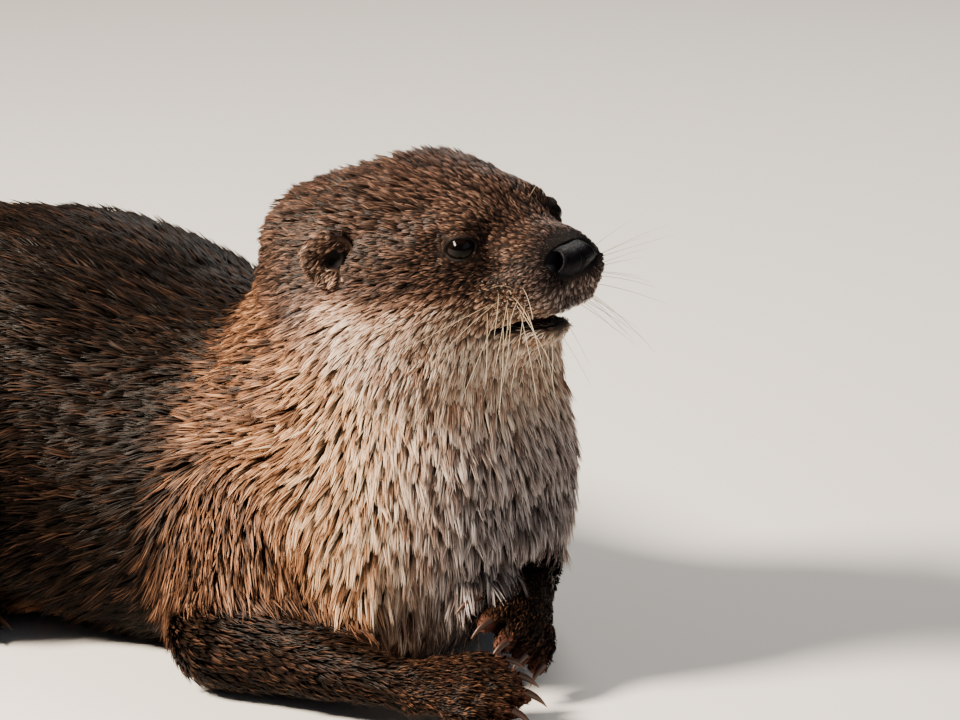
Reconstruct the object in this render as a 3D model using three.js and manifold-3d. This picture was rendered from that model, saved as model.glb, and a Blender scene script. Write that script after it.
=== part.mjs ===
// A river otter, life-size and still: it crouches on its belly with its neck drawn up, its head level
// and its forepaws together in front of its chest. Millimetres, +Z up, +X the way the animal faces and
// +Y to its left. The floor is Z = 0, and every size runs out to the tips of the coat.
//
// The body is a set of rounded forms melted into each other. Each named part is the skin of those forms
// inside that part's own region, so neighbours meet along thin cuts.
import * as THREE from 'three';
import { mergeVertices } from 'three/addons/utils/BufferGeometryUtils.js';
import Module from 'manifold-3d';

// ---- Driving dimensions ----
const CUT = 0.3; // the gap between neighbouring parts
const FLOOR = 0; // the level that all the flats rest at
const SINK = 1.2; // how far a resting form dips below the floor before it is cut flat

const NOSE = [90, 0, 170]; // the middle of the nose pad's front face
const HEAD_PITCH = 13; // degrees that the muzzle points up
const HEAD_ROLL = 4; // degrees that the right side leans down
const EYE = { at: [-33.5, 24.4, 12], radius: 6.4 }; // from the nose, left side
const EAR = { at: [-81, 42.5, 15], wide: 10, high: 10, deep: 6.5, wall: 2.4, faces: [0.62, 0.78, 0.05] };
const NOSE_PAD = { at: [-7, 0, 0.8], radii: [8.2, 14, 8.2] };
const NOSTRIL = { at: [-2.5, 9.5, 0.5], radii: [5, 4.2, 3.2], turn: 38 };
const MOUTH = { corner: [-31, 0, -21], gape: 8.5, rise: 4 }; // gape and rise in degrees

const NECK_RADIUS = 60;
const CHEST_RADIUS = 73;
const BACK_TOP = 149; // the height of the hump of the back
const PAW_SPREAD = 8; // degrees between one finger and the next

const COLOURS = {
  back: 0x3a2519,
  neck: 0x7a5238,
  throat: 0xa58a6c,
  paw: 0x4a2f20,
  nose: 0x17120f,
  eye: 0x120c09,
  claw: 0x4a3d33,
};

// ---- Small helpers ----
const radians = THREE.MathUtils.degToRad;
const clamp = THREE.MathUtils.clamp;
const lerp = THREE.MathUtils.lerp;
const vec = (x, y, z) => new THREE.Vector3(x, y, z);
const point = (list) => vec(...list);
const mirrored = ([x, y, z], side) => [x, y * side, z];

// A place is a matrix: an origin, the way forward (x) and roughly the way up (z).
function place(origin, forward, up) {
  const x = point(forward).normalize();
  const y = point(up).cross(x).normalize();
  const z = x.clone().cross(y);
  return new THREE.Matrix4().makeBasis(x, y, z).setPosition(...origin);
}

// ---- Forms: functions from a point to its distance from the surface, negative inside ----

function egg(at, radii, turn = [0, 0, 0]) {
  const frame = new THREE.Matrix4().makeRotationFromEuler(new THREE.Euler(...turn.map(radians)));
  const inward = frame.setPosition(...at).invert();
  const [a, b, c] = radii;
  return (p) => {
    const q = p.clone().applyMatrix4(inward);
    const near = Math.hypot(q.x / a, q.y / b, q.z / c);
    const slope = Math.hypot(q.x / a ** 2, q.y / b ** 2, q.z / c ** 2);
    return slope > 0 ? (near * (near - 1)) / slope : -Math.min(a, b, c);
  };
}

function limb(from, to, startRadius, endRadius) {
  const start = point(from);
  const along = point(to).sub(start);
  return (p) => {
    const q = p.clone().sub(start);
    const t = clamp(q.dot(along) / along.lengthSq(), 0, 1);
    return q.addScaledVector(along, -t).length() - lerp(startRadius, endRadius, t);
  };
}

// A rod of changing width and height along a smooth path. Its width is level. A power of 2 makes it
// round and a higher one boxy.
function sweep(stations, steps = 30, power = 2) {
  const path = new THREE.CatmullRomCurve3(stations.map((s) => point(s.at)));
  const sizes = new THREE.CatmullRomCurve3(stations.map((s) => vec(s.wide, s.high, 0)));
  const beads = Array.from({ length: steps + 1 }, (_, i) => {
    return { at: path.getPoint(i / steps), size: sizes.getPoint(i / steps) };
  });
  const toBead = (p, from, to) => {
    const along = to.at.clone().sub(from.at);
    const q = p.clone().sub(from.at);
    const t = clamp(q.dot(along) / along.lengthSq(), 0, 1);
    q.addScaledVector(along, -t);
    const across = Math.hypot(along.x, along.y) > 1e-6 ? vec(-along.y, along.x, 0).normalize() : vec(0, 1, 0);
    const wide = lerp(from.size.x, to.size.x, t);
    const high = lerp(from.size.y, to.size.y, t);
    const sideways = q.dot(across);
    const rest = Math.sqrt(Math.max(q.lengthSq() - sideways ** 2, 0));
    const reach = (Math.abs(sideways / wide) ** power + (rest / high) ** power) ** (1 / power);
    return (reach - 1) * Math.min(wide, high);
  };
  return (p) => Math.min(...beads.slice(1).map((bead, i) => toBead(p, beads[i], bead)));
}

// Forms melted into each other over a width of soft millimetres.
function blend(soft, ...forms) {
  return (p) => forms.map((form) => form(p)).reduce((a, b) => {
    const h = Math.max(soft - Math.abs(a - b), 0) / soft;
    return Math.min(a, b) - (h * h * soft) / 4;
  });
}

const without = (soft, form, hole) => {
  const kept = blend(soft, (p) => -form(p), hole);
  return (p) => -kept(p);
};
const grown = (form, by) => (p) => form(p) - by;
const within = (frame, form) => {
  const inward = frame.clone().invert();
  return (p) => form(p.clone().applyMatrix4(inward));
};

// ---- From forms to closed surfaces ----

// Every grid cell that the surface crosses gets one vertex, and every grid edge that it crosses one quad.
function surfaceOf(form, box, cell) {
  const size = box.getSize(vec(0, 0, 0));
  const count = [size.x, size.y, size.z].map((s) => Math.ceil(s / cell) + 1);
  const strides = [1, count[0], count[0] * count[1]];
  const corner = (i, j, k) => vec(i, j, k).multiplyScalar(cell).add(box.min);
  const field = new Float32Array(count[0] * count[1] * count[2]);
  const eachNode = (visit) => {
    for (let k = 0; k < count[2]; k++)
      for (let j = 0; j < count[1]; j++)
        for (let i = 0; i < count[0]; i++)
          visit(i, j, k, i * strides[0] + j * strides[1] + k * strides[2]);
  };
  eachNode((i, j, k, n) => {
    const edge = [i, j, k].some((v, axis) => v === 0 || v === count[axis] - 1);
    field[n] = edge ? cell : form(corner(i, j, k));
  });

  const positions = [];
  const vertexOf = new Int32Array(field.length).fill(-1);
  eachNode((i, j, k, n) => {
    if (i === count[0] - 1 || j === count[1] - 1 || k === count[2] - 1) return;
    const sum = vec(0, 0, 0);
    let crossings = 0;
    for (let c = 0; c < 8; c++)
      for (let axis = 0; axis < 3; axis++) {
        if (c & (1 << axis)) continue;
        const step = [c & 1, (c >> 1) & 1, (c >> 2) & 1];
        const a = n + step[0] * strides[0] + step[1] * strides[1] + step[2] * strides[2];
        const b = a + strides[axis];
        if (field[a] < 0 === field[b] < 0) continue;
        const spot = [i + step[0], j + step[1], k + step[2]];
        spot[axis] += field[a] / (field[a] - field[b]);
        sum.add(corner(...spot));
        crossings++;
      }
    if (!crossings) return;
    vertexOf[n] = positions.length / 3;
    positions.push(...settled(form, sum.divideScalar(crossings), cell).toArray());
  });

  const faces = [];
  const span = (a, b) => Math.hypot(...[0, 1, 2].map((d) => positions[3 * a + d] - positions[3 * b + d]));
  eachNode((i, j, k, n) => {
    for (let axis = 0; axis < 3; axis++) {
      const [u, v] = [(axis + 1) % 3, (axis + 2) % 3];
      const here = [i, j, k];
      if (here[axis] === count[axis] - 1 || here[u] === 0 || here[v] === 0) continue;
      const inside = field[n] < 0;
      if (inside === field[n + strides[axis]] < 0) continue;
      const ring = [n, n - strides[u], n - strides[u] - strides[v], n - strides[v]].map((c) => vertexOf[c]);
      if (!inside) ring.reverse();
      if (span(ring[0], ring[2]) > span(ring[1], ring[3])) ring.push(ring.shift());
      faces.push(ring[0], ring[1], ring[2], ring[0], ring[2], ring[3]);
    }
  });
  const geometry = new THREE.BufferGeometry();
  geometry.setAttribute('position', new THREE.Float32BufferAttribute(positions, 3));
  return geometry.setIndex(faces);
}

// A point moved on to the surface along the form's slope, by half a cell at most.
function settled(form, p, cell) {
  const reach = 0.2;
  const away = form(p);
  const slope = vec(
    form(p.clone().setX(p.x + reach)) - away,
    form(p.clone().setY(p.y + reach)) - away,
    form(p.clone().setZ(p.z + reach)) - away,
  ).divideScalar(reach);
  const shift = clamp(-away / Math.max(slope.lengthSq(), 0.25), -cell / 2, cell / 2);
  return p.addScaledVector(slope, shift);
}

// ---- Joining and cutting ----
const wasm = await Module();
wasm.setup();

function solid(geometry) {
  const bare = new THREE.BufferGeometry().setAttribute('position', geometry.getAttribute('position'));
  bare.setIndex(geometry.index);
  const merged = mergeVertices(bare, 1e-4);
  return new wasm.Manifold(new wasm.Mesh({
    numProp: 3,
    vertProperties: merged.attributes.position.array,
    triVerts: new Uint32Array(merged.index.array),
  }));
}

function geometryOf(body) {
  const mesh = body.getMesh();
  const geometry = new THREE.BufferGeometry();
  geometry.setAttribute('position', new THREE.BufferAttribute(mesh.vertProperties, 3));
  geometry.setIndex(new THREE.BufferAttribute(mesh.triVerts, 1));
  geometry.computeVertexNormals();
  return geometry;
}

const boxAround = (low, high) => new THREE.Box3(point(low), point(high));
const skinned = (form, low, high, cell) => solid(surfaceOf(form, boxAround(low, high), cell));

// Everything on the side of a plane that its normal points to, moved that way by offset.
function beyond(onPlane, normal, offset = 0) {
  const side = 2400;
  const slab = new THREE.BoxGeometry(side, side, side).translate(side / 2 + offset, 0, 0);
  const turn = new THREE.Quaternion().setFromUnitVectors(vec(1, 0, 0), point(normal).normalize());
  return solid(slab.applyQuaternion(turn).translate(...onPlane));
}

function spheroid(frame, radii, around = 10, over = 5) {
  return solid(new THREE.SphereGeometry(1, around, over).scale(...radii).applyMatrix4(frame));
}

// A region shaped like a stretched ball or a capsule, for cutting a leg free.
function ballRegion(at, radii, turn = [0, 0, 0], extra = 0) {
  const frame = new THREE.Matrix4().makeRotationFromEuler(new THREE.Euler(...turn.map(radians)));
  return spheroid(frame.setPosition(...at), radii.map((r) => r + extra));
}

function capsuleRegion(from, to, radius, extra = 0) {
  const along = point(to).sub(point(from));
  const capsule = new THREE.CapsuleGeometry(radius + extra, along.length(), 2, 8);
  const turn = new THREE.Quaternion().setFromUnitVectors(vec(0, 1, 0), along.clone().normalize());
  return solid(capsule.applyQuaternion(turn).translate(...point(from).addScaledVector(along, 0.5).toArray()));
}

// ---- The head, in a frame whose origin is the nose pad's front ----

function headPlace() {
  const frame = new THREE.Matrix4().makeRotationY(radians(-HEAD_PITCH));
  return frame.multiply(new THREE.Matrix4().makeRotationX(radians(HEAD_ROLL))).setPosition(...NOSE);
}

const head = headPlace();

function headForm() {
  const both = (make) => [make(1), make(-1)];
  const skull = blend(
    16,
    egg([-68, 0, 9], [32, 36, 34.5]), // cranium
    egg([-90, 0, 4.5], [32.5, 37, 34.5]), // back of the head
    egg([-49, 0, 9], [27, 28, 25.5]), // forehead
    ...both((s) => egg([-64, 21 * s, -9], [29, 21, 22])), // cheeks
    egg([-70, 0, -23], [35, 31, 21]), // jaw joint and throat
  );
  const muzzle = blend(
    7,
    egg([-25, 0, 2], [25, 19.5, 14]), // bridge
    ...both((s) => egg([-15, 12 * s, -5], [15.5, 11.5, 12])), // whisker pads
    egg([-40, 0, -8], [24, 24, 13]), // upper lip behind the pads
  );
  const brows = blend(5, ...both((s) => egg([-37, 19.5 * s, 17], [13, 9, 7.5])));
  const jaw = limb([-68, 0, -21], [-20, 0, -22.5], 15, 10.5);
  return blend(9, skull, muzzle, brows, jaw);
}

// The nose pad, larger all round by the amount asked for.
function nosePad(extra) {
  const frame = head.clone().multiply(new THREE.Matrix4().setPosition(...NOSE_PAD.at));
  return spheroid(frame, NOSE_PAD.radii.map((r) => r + extra), 12, 7);
}

// The ear is a round shell whose hollow faces forward and out.
function earPlaces(side) {
  const way = mirrored(EAR.faces, side);
  const shell = place(mirrored(EAR.at, side), way, [0, 0, 1]);
  const hollow = shell.clone().multiply(new THREE.Matrix4().makeTranslation(EAR.deep * 0.75, 0, 0));
  return [shell, hollow].map((frame) => head.clone().multiply(frame));
}

// ---- The paws, each in a frame with its wrist at the origin, x to the fingers and z to its back ----

const FOREPAW = {
  palm: { at: [14, 0, 0], radii: [20, 14.5, 9] },
  web: { at: [30, 0, -1.5], radii: [12, 14, 3.2] },
  wrist: { from: [-14, 0, 0], to: [12, 0, 0], radii: [12, 10] },
  reach: 22,
  across: 6,
  joints: [12, 11],
  thick: 5,
  claw: 7,
};
const HINDPAW = {
  palm: { at: [46, 0, 0], radii: [42, 17, 10] },
  web: { at: [84, 0, -2], radii: [20, 21, 3.4] },
  wrist: { from: [-2, 0, 1], to: [26, 0, 0], radii: [14, 11] },
  reach: 70,
  across: 7.6,
  joints: [18, 15],
  thick: 5.8,
  claw: 6.5,
};
const FINGERS = [-2, -1, 0, 1, 2];
const TIP_REACH = 0.8; // how far a finger's end stands beyond its last joint, as a share of its radius

// The finger's joints from its root to its tip, and the way that the tip points.
function fingerLine(paw, index, curl) {
  const turn = radians(index * PAW_SPREAD);
  const outer = Math.abs(index);
  const at = vec(paw.reach - 2 * outer ** 1.5, index * paw.across, -0.5 * outer);
  const line = [at.clone()];
  let way = vec(1, 0, 0);
  paw.joints.forEach((length, i) => {
    const bend = curl * (i + 0.5);
    way = vec(Math.cos(turn) * Math.cos(bend), Math.sin(turn), -Math.sin(bend)).normalize();
    at.addScaledVector(way, length * (1 - 0.08 * outer));
    line.push(at.clone());
  });
  return { line, way };
}

// A closed rod along a line of points, its width across the given way up, ending in a point.
function rod(line, radii, sides, up = vec(0, 0, 1), squash = 1) {
  const positions = [];
  line.forEach((at, i) => {
    const next = line[Math.min(i + 1, line.length - 1)];
    const along = next.clone().sub(line[Math.max(i - 1, 0)]).normalize();
    const across = up.clone().cross(along).normalize();
    const over = along.clone().cross(across);
    for (let s = 0; s < sides; s++) {
      const angle = (2 * Math.PI * s) / sides;
      const rim = at.clone().addScaledVector(across, radii[i] * squash * Math.cos(angle));
      positions.push(...rim.addScaledVector(over, radii[i] * Math.sin(angle)).toArray());
    }
  });
  const [first, last] = [line[0], line[line.length - 1]];
  positions.push(...first.toArray(), ...last.toArray());
  const heel = line.length * sides;
  const faces = [];
  for (let s = 0; s < sides; s++) {
    const next = (s + 1) % sides;
    faces.push(heel, next, s, heel - sides + s, heel - sides + next, heel + 1);
    for (let r = 0; r + 1 < line.length; r++) {
      const [a, b] = [r * sides + s, r * sides + next];
      faces.push(a, b, b + sides, a, b + sides, a + sides);
    }
  }
  const geometry = new THREE.BufferGeometry();
  geometry.setAttribute('position', new THREE.Float32BufferAttribute(positions, 3));
  return geometry.setIndex(faces);
}

// A finger has a ring at each joint and a smaller one at its end.
function fingerSolid(paw, frame, index, curl) {
  const { line, way } = fingerLine(paw, index, curl);
  const tip = line[line.length - 1];
  const end = tip.clone().addScaledVector(way, paw.thick * TIP_REACH);
  const radii = [1.05, 1, 0.95, 0.55].map((share) => share * paw.thick);
  return solid(rod([...line, end], radii, 5, vec(0, 0, 1), 0.95).applyMatrix4(frame));
}

function pawSolid(paw, frame, curl) {
  const droop = new THREE.Matrix4().makeRotationY(curl * 0.4);
  const webFrame = frame.clone().multiply(new THREE.Matrix4().makeTranslation(...paw.web.at)).multiply(droop);
  const palmFrame = frame.clone().multiply(new THREE.Matrix4().makeTranslation(...paw.palm.at));
  const { from, to, radii } = paw.wrist;
  const wrist = solid(rod([point(from), point(to)], radii, 7).applyMatrix4(frame));
  const flesh = spheroid(palmFrame, paw.palm.radii, 8, 5).add(wrist).add(spheroid(webFrame, paw.web.radii, 7, 3));
  return FINGERS.reduce((body, index) => body.add(fingerSolid(paw, frame, index, curl)), flesh);
}

// A claw is a short hooked cone. It leaves the top of the finger's end, across the gap.
function clawSolid(paw, frame, index, curl) {
  const { line, way } = fingerLine(paw, index, curl);
  const up = vec(0, 0, 1).addScaledVector(way, -way.z).normalize();
  const root = line[line.length - 1].clone().addScaledVector(up, paw.thick * 0.25);
  root.addScaledVector(way, paw.thick * TIP_REACH + CUT);
  const spots = [[0, 0], [0.5, -0.08], [1, -0.4]];
  const spine = spots.map(([along, rise]) => {
    return root.clone().addScaledVector(way, paw.claw * along).addScaledVector(up, paw.claw * rise);
  });
  return solid(rod(spine, [1.9, 1.5, 0.3], 5, up, 0.8).applyMatrix4(frame));
}

// ---- The whole body ----

const NECK = [
  { at: [-24, 0, 151], wide: 38, high: 33 },
  { at: [-11, 0, 137], wide: 49, high: 44 },
  { at: [-1, 0, 115], wide: NECK_RADIUS, high: NECK_RADIUS },
  { at: [0, 0, 92], wide: 67, high: 67 },
  { at: [-1, 0, 71.8], wide: CHEST_RADIUS, high: CHEST_RADIUS },
];
const SPINE = [
  { at: [-48, 0, 60], wide: 70, high: 59 },
  { at: [-100, 0, 68], wide: 75, high: 68 },
  { at: [-165, 0, BACK_TOP - 74], wide: 78, high: 74 },
  { at: [-228, 0, 69], wide: 75, high: 69 },
  { at: [-285, 0, 55], wide: 58, high: 54 },
  { at: [-335, 0, 38], wide: 41, high: 37 },
  { at: [-385, 4, 28.5], wide: 32, high: 28.5 },
  { at: [-450, 18, 23], wide: 26, high: 23 },
  { at: [-525, 50, 18], wide: 20, high: 18 },
  { at: [-590, 98, 13], wide: 14.5, high: 13 },
  { at: [-635, 155, 8], wide: 8.5, high: 8 },
  { at: [-655, 205, 4], wide: 3.4, high: 3.6 },
].map(({ at: [x, y, z], wide, high }) => ({ at: [x, y, z], wide, high: high + SINK }));
// The belly spreads where it carries the weight.
const BELLY = [
  { at: [-40, 0, 32], wide: 60, high: 32 + SINK },
  { at: [-100, 0, 34], wide: 80, high: 34 + SINK },
  { at: [-165, 0, 36], wide: 85, high: 36 + SINK },
  { at: [-228, 0, 36], wide: 80, high: 36 + SINK },
  { at: [-285, 0, 33], wide: 54, high: 33 + SINK },
];
const ARM = {
  right: { shoulder: [-14, -46, 66], elbow: [-18, -80, 19], wrist: [65, -71, 16.2] },
  left: { shoulder: [-14, 46, 66], elbow: [-8, 70, 19], wrist: [58, 10, 33] },
};
const HIND = {
  hip: [-228, 42, 76],
  knee: [-132, 98, 41],
  heel: [-226, 98, 16],
};
const ANKLE_TOP = 19; // where the shank ends and the foot below it begins
const ARM_SIZE = { shoulder: 34, elbow: 20, wrist: 12 };
const HIND_SIZE = { hip: 46, knee: 30, shank: 24, heel: 15 };
const PAW_PLACES = {
  right: place(ARM.right.wrist, [0.86, 0.5, 0.08], [0.2, -0.36, 0.85]),
  left: place(ARM.left.wrist, [0.58, -0.81, -0.04], [0.6, 0.36, 0.68]),
};
const PAW_CURL = { right: 0.3, left: 0.42 };
const HIND_PLACES = {
  right: place([-226, -102, 9], [1, -0.08, -0.03], [0, 0, 1]),
  left: place([-226, 102, 9], [1, 0.08, -0.03], [0, 0, 1]),
};
const HIND_CURL = 0.05;
const SIDES = { right: -1, left: 1 };

const headWorld = within(head, headForm());
const neckForm = sweep(NECK);
const spineForm = sweep(SPINE, 44);
const bellyForm = sweep(BELLY, 20, 3.4);
const shoulderBlades = Object.values(SIDES).map((s) => egg([-36, 42 * s, 70], [40, 31, 42]));
const upperLegs = Object.entries(SIDES).flatMap(([name, s]) => [
  limb(ARM[name].shoulder, ARM[name].elbow, ARM_SIZE.shoulder, ARM_SIZE.elbow),
  limb(mirrored(HIND.hip, s), mirrored(HIND.knee, s), HIND_SIZE.hip, HIND_SIZE.knee),
]);
const lowerLegs = Object.entries(SIDES).flatMap(([name, s]) => [
  limb(ARM[name].elbow, ARM[name].wrist, ARM_SIZE.elbow, ARM_SIZE.wrist),
  limb(mirrored(HIND.knee, s), mirrored(HIND.heel, s), HIND_SIZE.shank, HIND_SIZE.heel),
]);
const barrel = blend(24, spineForm, bellyForm, ...shoulderBlades);
const bodyForm = blend(12, blend(16, blend(9, neckForm, barrel), ...upperLegs), ...lowerLegs);
const wholeForm = blend(12, bodyForm, headWorld);

// ---- The regions that the parts are cut to ----
const aboveFloor = beyond([0, 0, FLOOR], [0, 0, 1]);
const HEAD_PLANE = { at: [-4, 0, 137], way: [0.36, 0, 0.93] };
const NECK_PLANE = { at: [0, 0, 105], way: [0.34, 0, 0.94] };
const NAPE_PLANE = { at: [-62, 0, 120], way: [0.98, 0, 0.2] };
const LOIN_X = -95;
const RUMP_X = -205;
const TAIL_X = -335;
const TAIL_START = 6.6; // the station, counted from the shoulders, where the tapering rod begins
const TAIL_CUTS = [{ at: [-440, 15, 20], way: [-0.97, 0.24, 0] }, { at: [-560, 74, 15], way: [-0.83, 0.55, 0] }];
const half = CUT / 2;

const onSide = (plane, sign) => beyond(plane.at, plane.way.map((v) => v * sign), half);
const behind = (x) => beyond([x, 0, 0], [-1, 0, 0], half);
const ahead = (x) => beyond([x, 0, 0], [1, 0, 0], half);

const legRegions = Object.fromEntries(Object.entries(SIDES).map(([name, s]) => {
  const arm = ARM[name];
  const region = (extra) => ({
    shoulder: ballRegion([-18, 70 * s, 46], [37, 32, 44], [10 * s, 0, 0], extra),
    forearm: capsuleRegion(arm.elbow, arm.wrist, ARM_SIZE.elbow + 3.5, extra),
    thigh: ballRegion([-178, 90 * s, 56], [74, 42, 50], [0, -12, -12 * s], extra),
    shank: capsuleRegion(mirrored([-146, 103, 14], s), mirrored([-226, 101, 14], s), HIND_SIZE.shank + 3, extra),
    foot: capsuleRegion(mirrored([-170, 104, 10], s), mirrored([-96, 112, 8], s), 25, extra),
  });
  return [name, { own: region(0), clear: region(CUT) }];
}));

// The mouth: a wedge that opens to the front, and a thin cut behind its corner.
function mouthCut() {
  const [x, , z] = MOUTH.corner;
  const gape = Math.tan(radians(MOUTH.gape / 2));
  const outline = new THREE.Shape();
  const reach = 60;
  outline.moveTo(-90, -half);
  outline.lineTo(0, -half);
  outline.lineTo(reach, -reach * gape);
  outline.lineTo(reach, reach * gape);
  outline.lineTo(0, half);
  outline.lineTo(-90, half);
  const wedge = new THREE.ExtrudeGeometry(outline, { depth: 120, bevelEnabled: false }).translate(0, 0, -60);
  wedge.rotateX(Math.PI / 2).rotateY(radians(-MOUTH.rise)).translate(x, 0, z);
  return solid(wedge.applyMatrix4(head));
}

// The region of the lower jaw, below the mouth and in front of its hinge.
function jawRegion() {
  const [x, , z] = MOUTH.corner;
  const below = new THREE.BoxGeometry(220, 160, 80).translate(70, 0, -40);
  below.rotateY(radians(-MOUTH.rise)).translate(x, 0, z);
  return solid(below.applyMatrix4(head));
}

// ---- Making the parts ----
const CELLS = { trunk: 31, neck: 23, head: 11.8, leg: 19, forearm: 13, tail: 21 };
const parts = new Map();
const keep = (name, body, colour, rough = 0.85) => parts.set(name, { body: largest(body), colour, rough });

// The largest of a solid's bodies: a cut can leave crumbs.
function largest(body) {
  return body.decompose().reduce((a, b) => (a.volume() > b.volume() ? a : b));
}

function makeNose() {
  const turn = radians(NOSTRIL.turn);
  const holes = Object.values(SIDES).map((s) => {
    const frame = place(mirrored(NOSTRIL.at, s), [Math.cos(turn), Math.sin(turn) * s, 0], [0, 0, 1]);
    return spheroid(head.clone().multiply(frame), NOSTRIL.radii, 6, 4);
  });
  keep('nose', holes.reduce((rest, hole) => rest.subtract(hole), nosePad(0)), COLOURS.nose, 0.4);
}

function makeHead() {
  const upper = skinned(wholeForm, [-66, -66, 94], [106, 66, 224], CELLS.head).intersect(onSide(HEAD_PLANE, 1));
  const face = upper.subtract(nosePad(CUT + 0.1)).subtract(mouthCut());
  const jawRoom = jawRegion();
  let skull = face.subtract(jawRoom);
  for (const [name, s] of Object.entries(SIDES)) {
    const centre = head.clone().multiply(new THREE.Matrix4().setPosition(...mirrored(EYE.at, s)));
    const ball = (radius) => spheroid(centre, [radius, radius, radius], 10, 6);
    keep(`eye_${name}`, ball(EYE.radius), COLOURS.eye, 0.1);
    skull = skull.subtract(ball(EYE.radius + CUT + 0.05));
    const [shell, hollow] = earPlaces(s);
    const outer = spheroid(shell, [EAR.deep, EAR.wide, EAR.high], 9, 6);
    const inner = [EAR.deep, EAR.wide - EAR.wall, EAR.high - EAR.wall];
    const ear = outer.subtract(spheroid(hollow, inner, 8, 5)).subtract(skull);
    const outward = vec(0.3, s, 0.2).normalize().transformDirection(head).multiplyScalar(CUT + 0.1);
    keep(`ear_${name}`, ear.translate(outward.toArray()), COLOURS.back);
  }
  keep('head', skull, COLOURS.back);
  keep('jaw', face.intersect(jawRoom), COLOURS.throat);
}

function makeTrunk() {
  const neckBody = skinned(wholeForm, [-86, -88, 50], [98, 88, 200], CELLS.neck);
  const neckParts = neckBody.intersect(onSide(NECK_PLANE, 1)).intersect(onSide(NAPE_PLANE, 1));
  keep('neck', neckParts.intersect(onSide(HEAD_PLANE, -1)), COLOURS.neck);

  const above = (plane) => beyond(plane.at, plane.way, -half);
  const neckRoom = above(NECK_PLANE).intersect(above(NAPE_PLANE));
  const regions = Object.entries(legRegions).flatMap(([name, { clear }]) => {
    return [...Object.values(clear), pawRoom(FOREPAW, PAW_PLACES[name], PAW_CURL[name])];
  });
  const whole = skinned(wholeForm, [-440, -140, -16], [106, 140, 200], CELLS.trunk).intersect(aboveFloor);
  const trunk = [neckRoom, above(HEAD_PLANE), ...regions].reduce((rest, region) => rest.subtract(region), whole);
  keep('chest', trunk.intersect(ahead(LOIN_X)), COLOURS.throat);
  keep('loin', trunk.intersect(behind(LOIN_X)).intersect(ahead(RUMP_X)), COLOURS.back);
  keep('rump', trunk.intersect(behind(RUMP_X)).intersect(ahead(TAIL_X)), COLOURS.back);
}

// The tail's root belongs to the body. The rest is one tapering rod in two lengths.
function makeTail() {
  const rest = new THREE.CatmullRomCurve3(SPINE.map((s) => point(s.at)));
  const sizes = new THREE.CatmullRomCurve3(SPINE.map((s) => vec(s.wide, s.high, 0)));
  const start = TAIL_START / (SPINE.length - 1);
  const rings = Array.from({ length: 11 }, (_, i) => start + ((1 - start) * i) / 10);
  const line = rings.map((t) => rest.getPoint(t));
  const radii = rings.map((t) => sizes.getPoint(t));
  const geometry = rod(line, radii.map((r) => r.y), 12, vec(0, 0, 1), 1.06);
  const [first, second] = TAIL_CUTS;
  const further = solid(geometry).intersect(aboveFloor).intersect(onSide(first, 1));
  const root = skinned(barrel, [-460, -60, -14], [-320, 60, 92], CELLS.tail).intersect(aboveFloor);
  keep('tail_root', root.intersect(behind(TAIL_X)).intersect(onSide(first, -1)), COLOURS.back);
  keep('tail_middle', further.intersect(onSide(second, -1)), COLOURS.back);
  keep('tail_end', further.intersect(onSide(second, 1)), COLOURS.back);
}

const pawEdge = (frame, x) => {
  const at = vec(x, 0, 0).applyMatrix4(frame).toArray();
  return { at, way: vec(1, 0, 0).transformDirection(frame).toArray() };
};

function makeLegs() {
  for (const [name, s] of Object.entries(SIDES)) {
    const { own, clear } = legRegions[name];
    const [y0, y1] = s > 0 ? [-4, 140] : [-140, 4];
    const front = skinned(bodyForm, [-90, y0, -14], [98, y1, 122], CELLS.leg).intersect(aboveFloor);
    const foreleg = skinned(bodyForm, [-60, y0, -14], [98, y1, 64], CELLS.forearm).intersect(aboveFloor);
    const rear = skinned(bodyForm, [-306, y0, -14], [-84, y1, 134], CELLS.leg).intersect(aboveFloor);
    const wrist = pawEdge(PAW_PLACES[name], -1);
    keep(`arm_${name}`, front.intersect(own.shoulder).subtract(clear.forearm), COLOURS.neck);
    keep(`forearm_${name}`, foreleg.intersect(own.forearm).intersect(onSide(wrist, -1)), COLOURS.paw);
    makePaw(`forepaw_${name}`, FOREPAW, PAW_PLACES[name], PAW_CURL[name], onSide(wrist, 1));

    const ankle = [0, 0, ANKLE_TOP];
    const shank = rear.intersect(own.shank).intersect(beyond(ankle, [0, 0, 1], half));
    keep(`thigh_${name}`, rear.intersect(own.thigh).subtract(clear.shank).subtract(clear.foot), COLOURS.back);
    keep(`shank_${name}`, shank, COLOURS.back);
    makePaw(`hindpaw_${name}`, HINDPAW, HIND_PLACES[name], HIND_CURL, beyond(ankle, [0, 0, -1], half));
  }
}

// The room that a paw takes out of the flesh that it lies against.
function pawRoom(paw, frame, curl) {
  const wider = (piece) => ({ ...piece, radii: piece.radii.map((r) => r + CUT + 0.15) });
  const longer = wider({ ...paw.wrist, from: [paw.wrist.from[0] - 1, 0, paw.wrist.from[2]] });
  const room = { ...paw, palm: wider(paw.palm), web: wider(paw.web), wrist: longer, thick: paw.thick + CUT + 0.15 };
  return pawSolid(room, frame, curl);
}

function makePaw(name, paw, frame, curl, region) {
  const body = largest(pawSolid(paw, frame, curl).intersect(aboveFloor).intersect(region));
  FINGERS.forEach((index, i) => {
    const claw = clawSolid(paw, frame, index, curl).intersect(aboveFloor);
    keep(`claw_${name}_${i + 1}`, claw, COLOURS.claw, 0.35);
  });
  keep(name, body, COLOURS.paw);
}

makeNose();
makeHead();
makeTrunk();
makeTail();
makeLegs();

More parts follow.
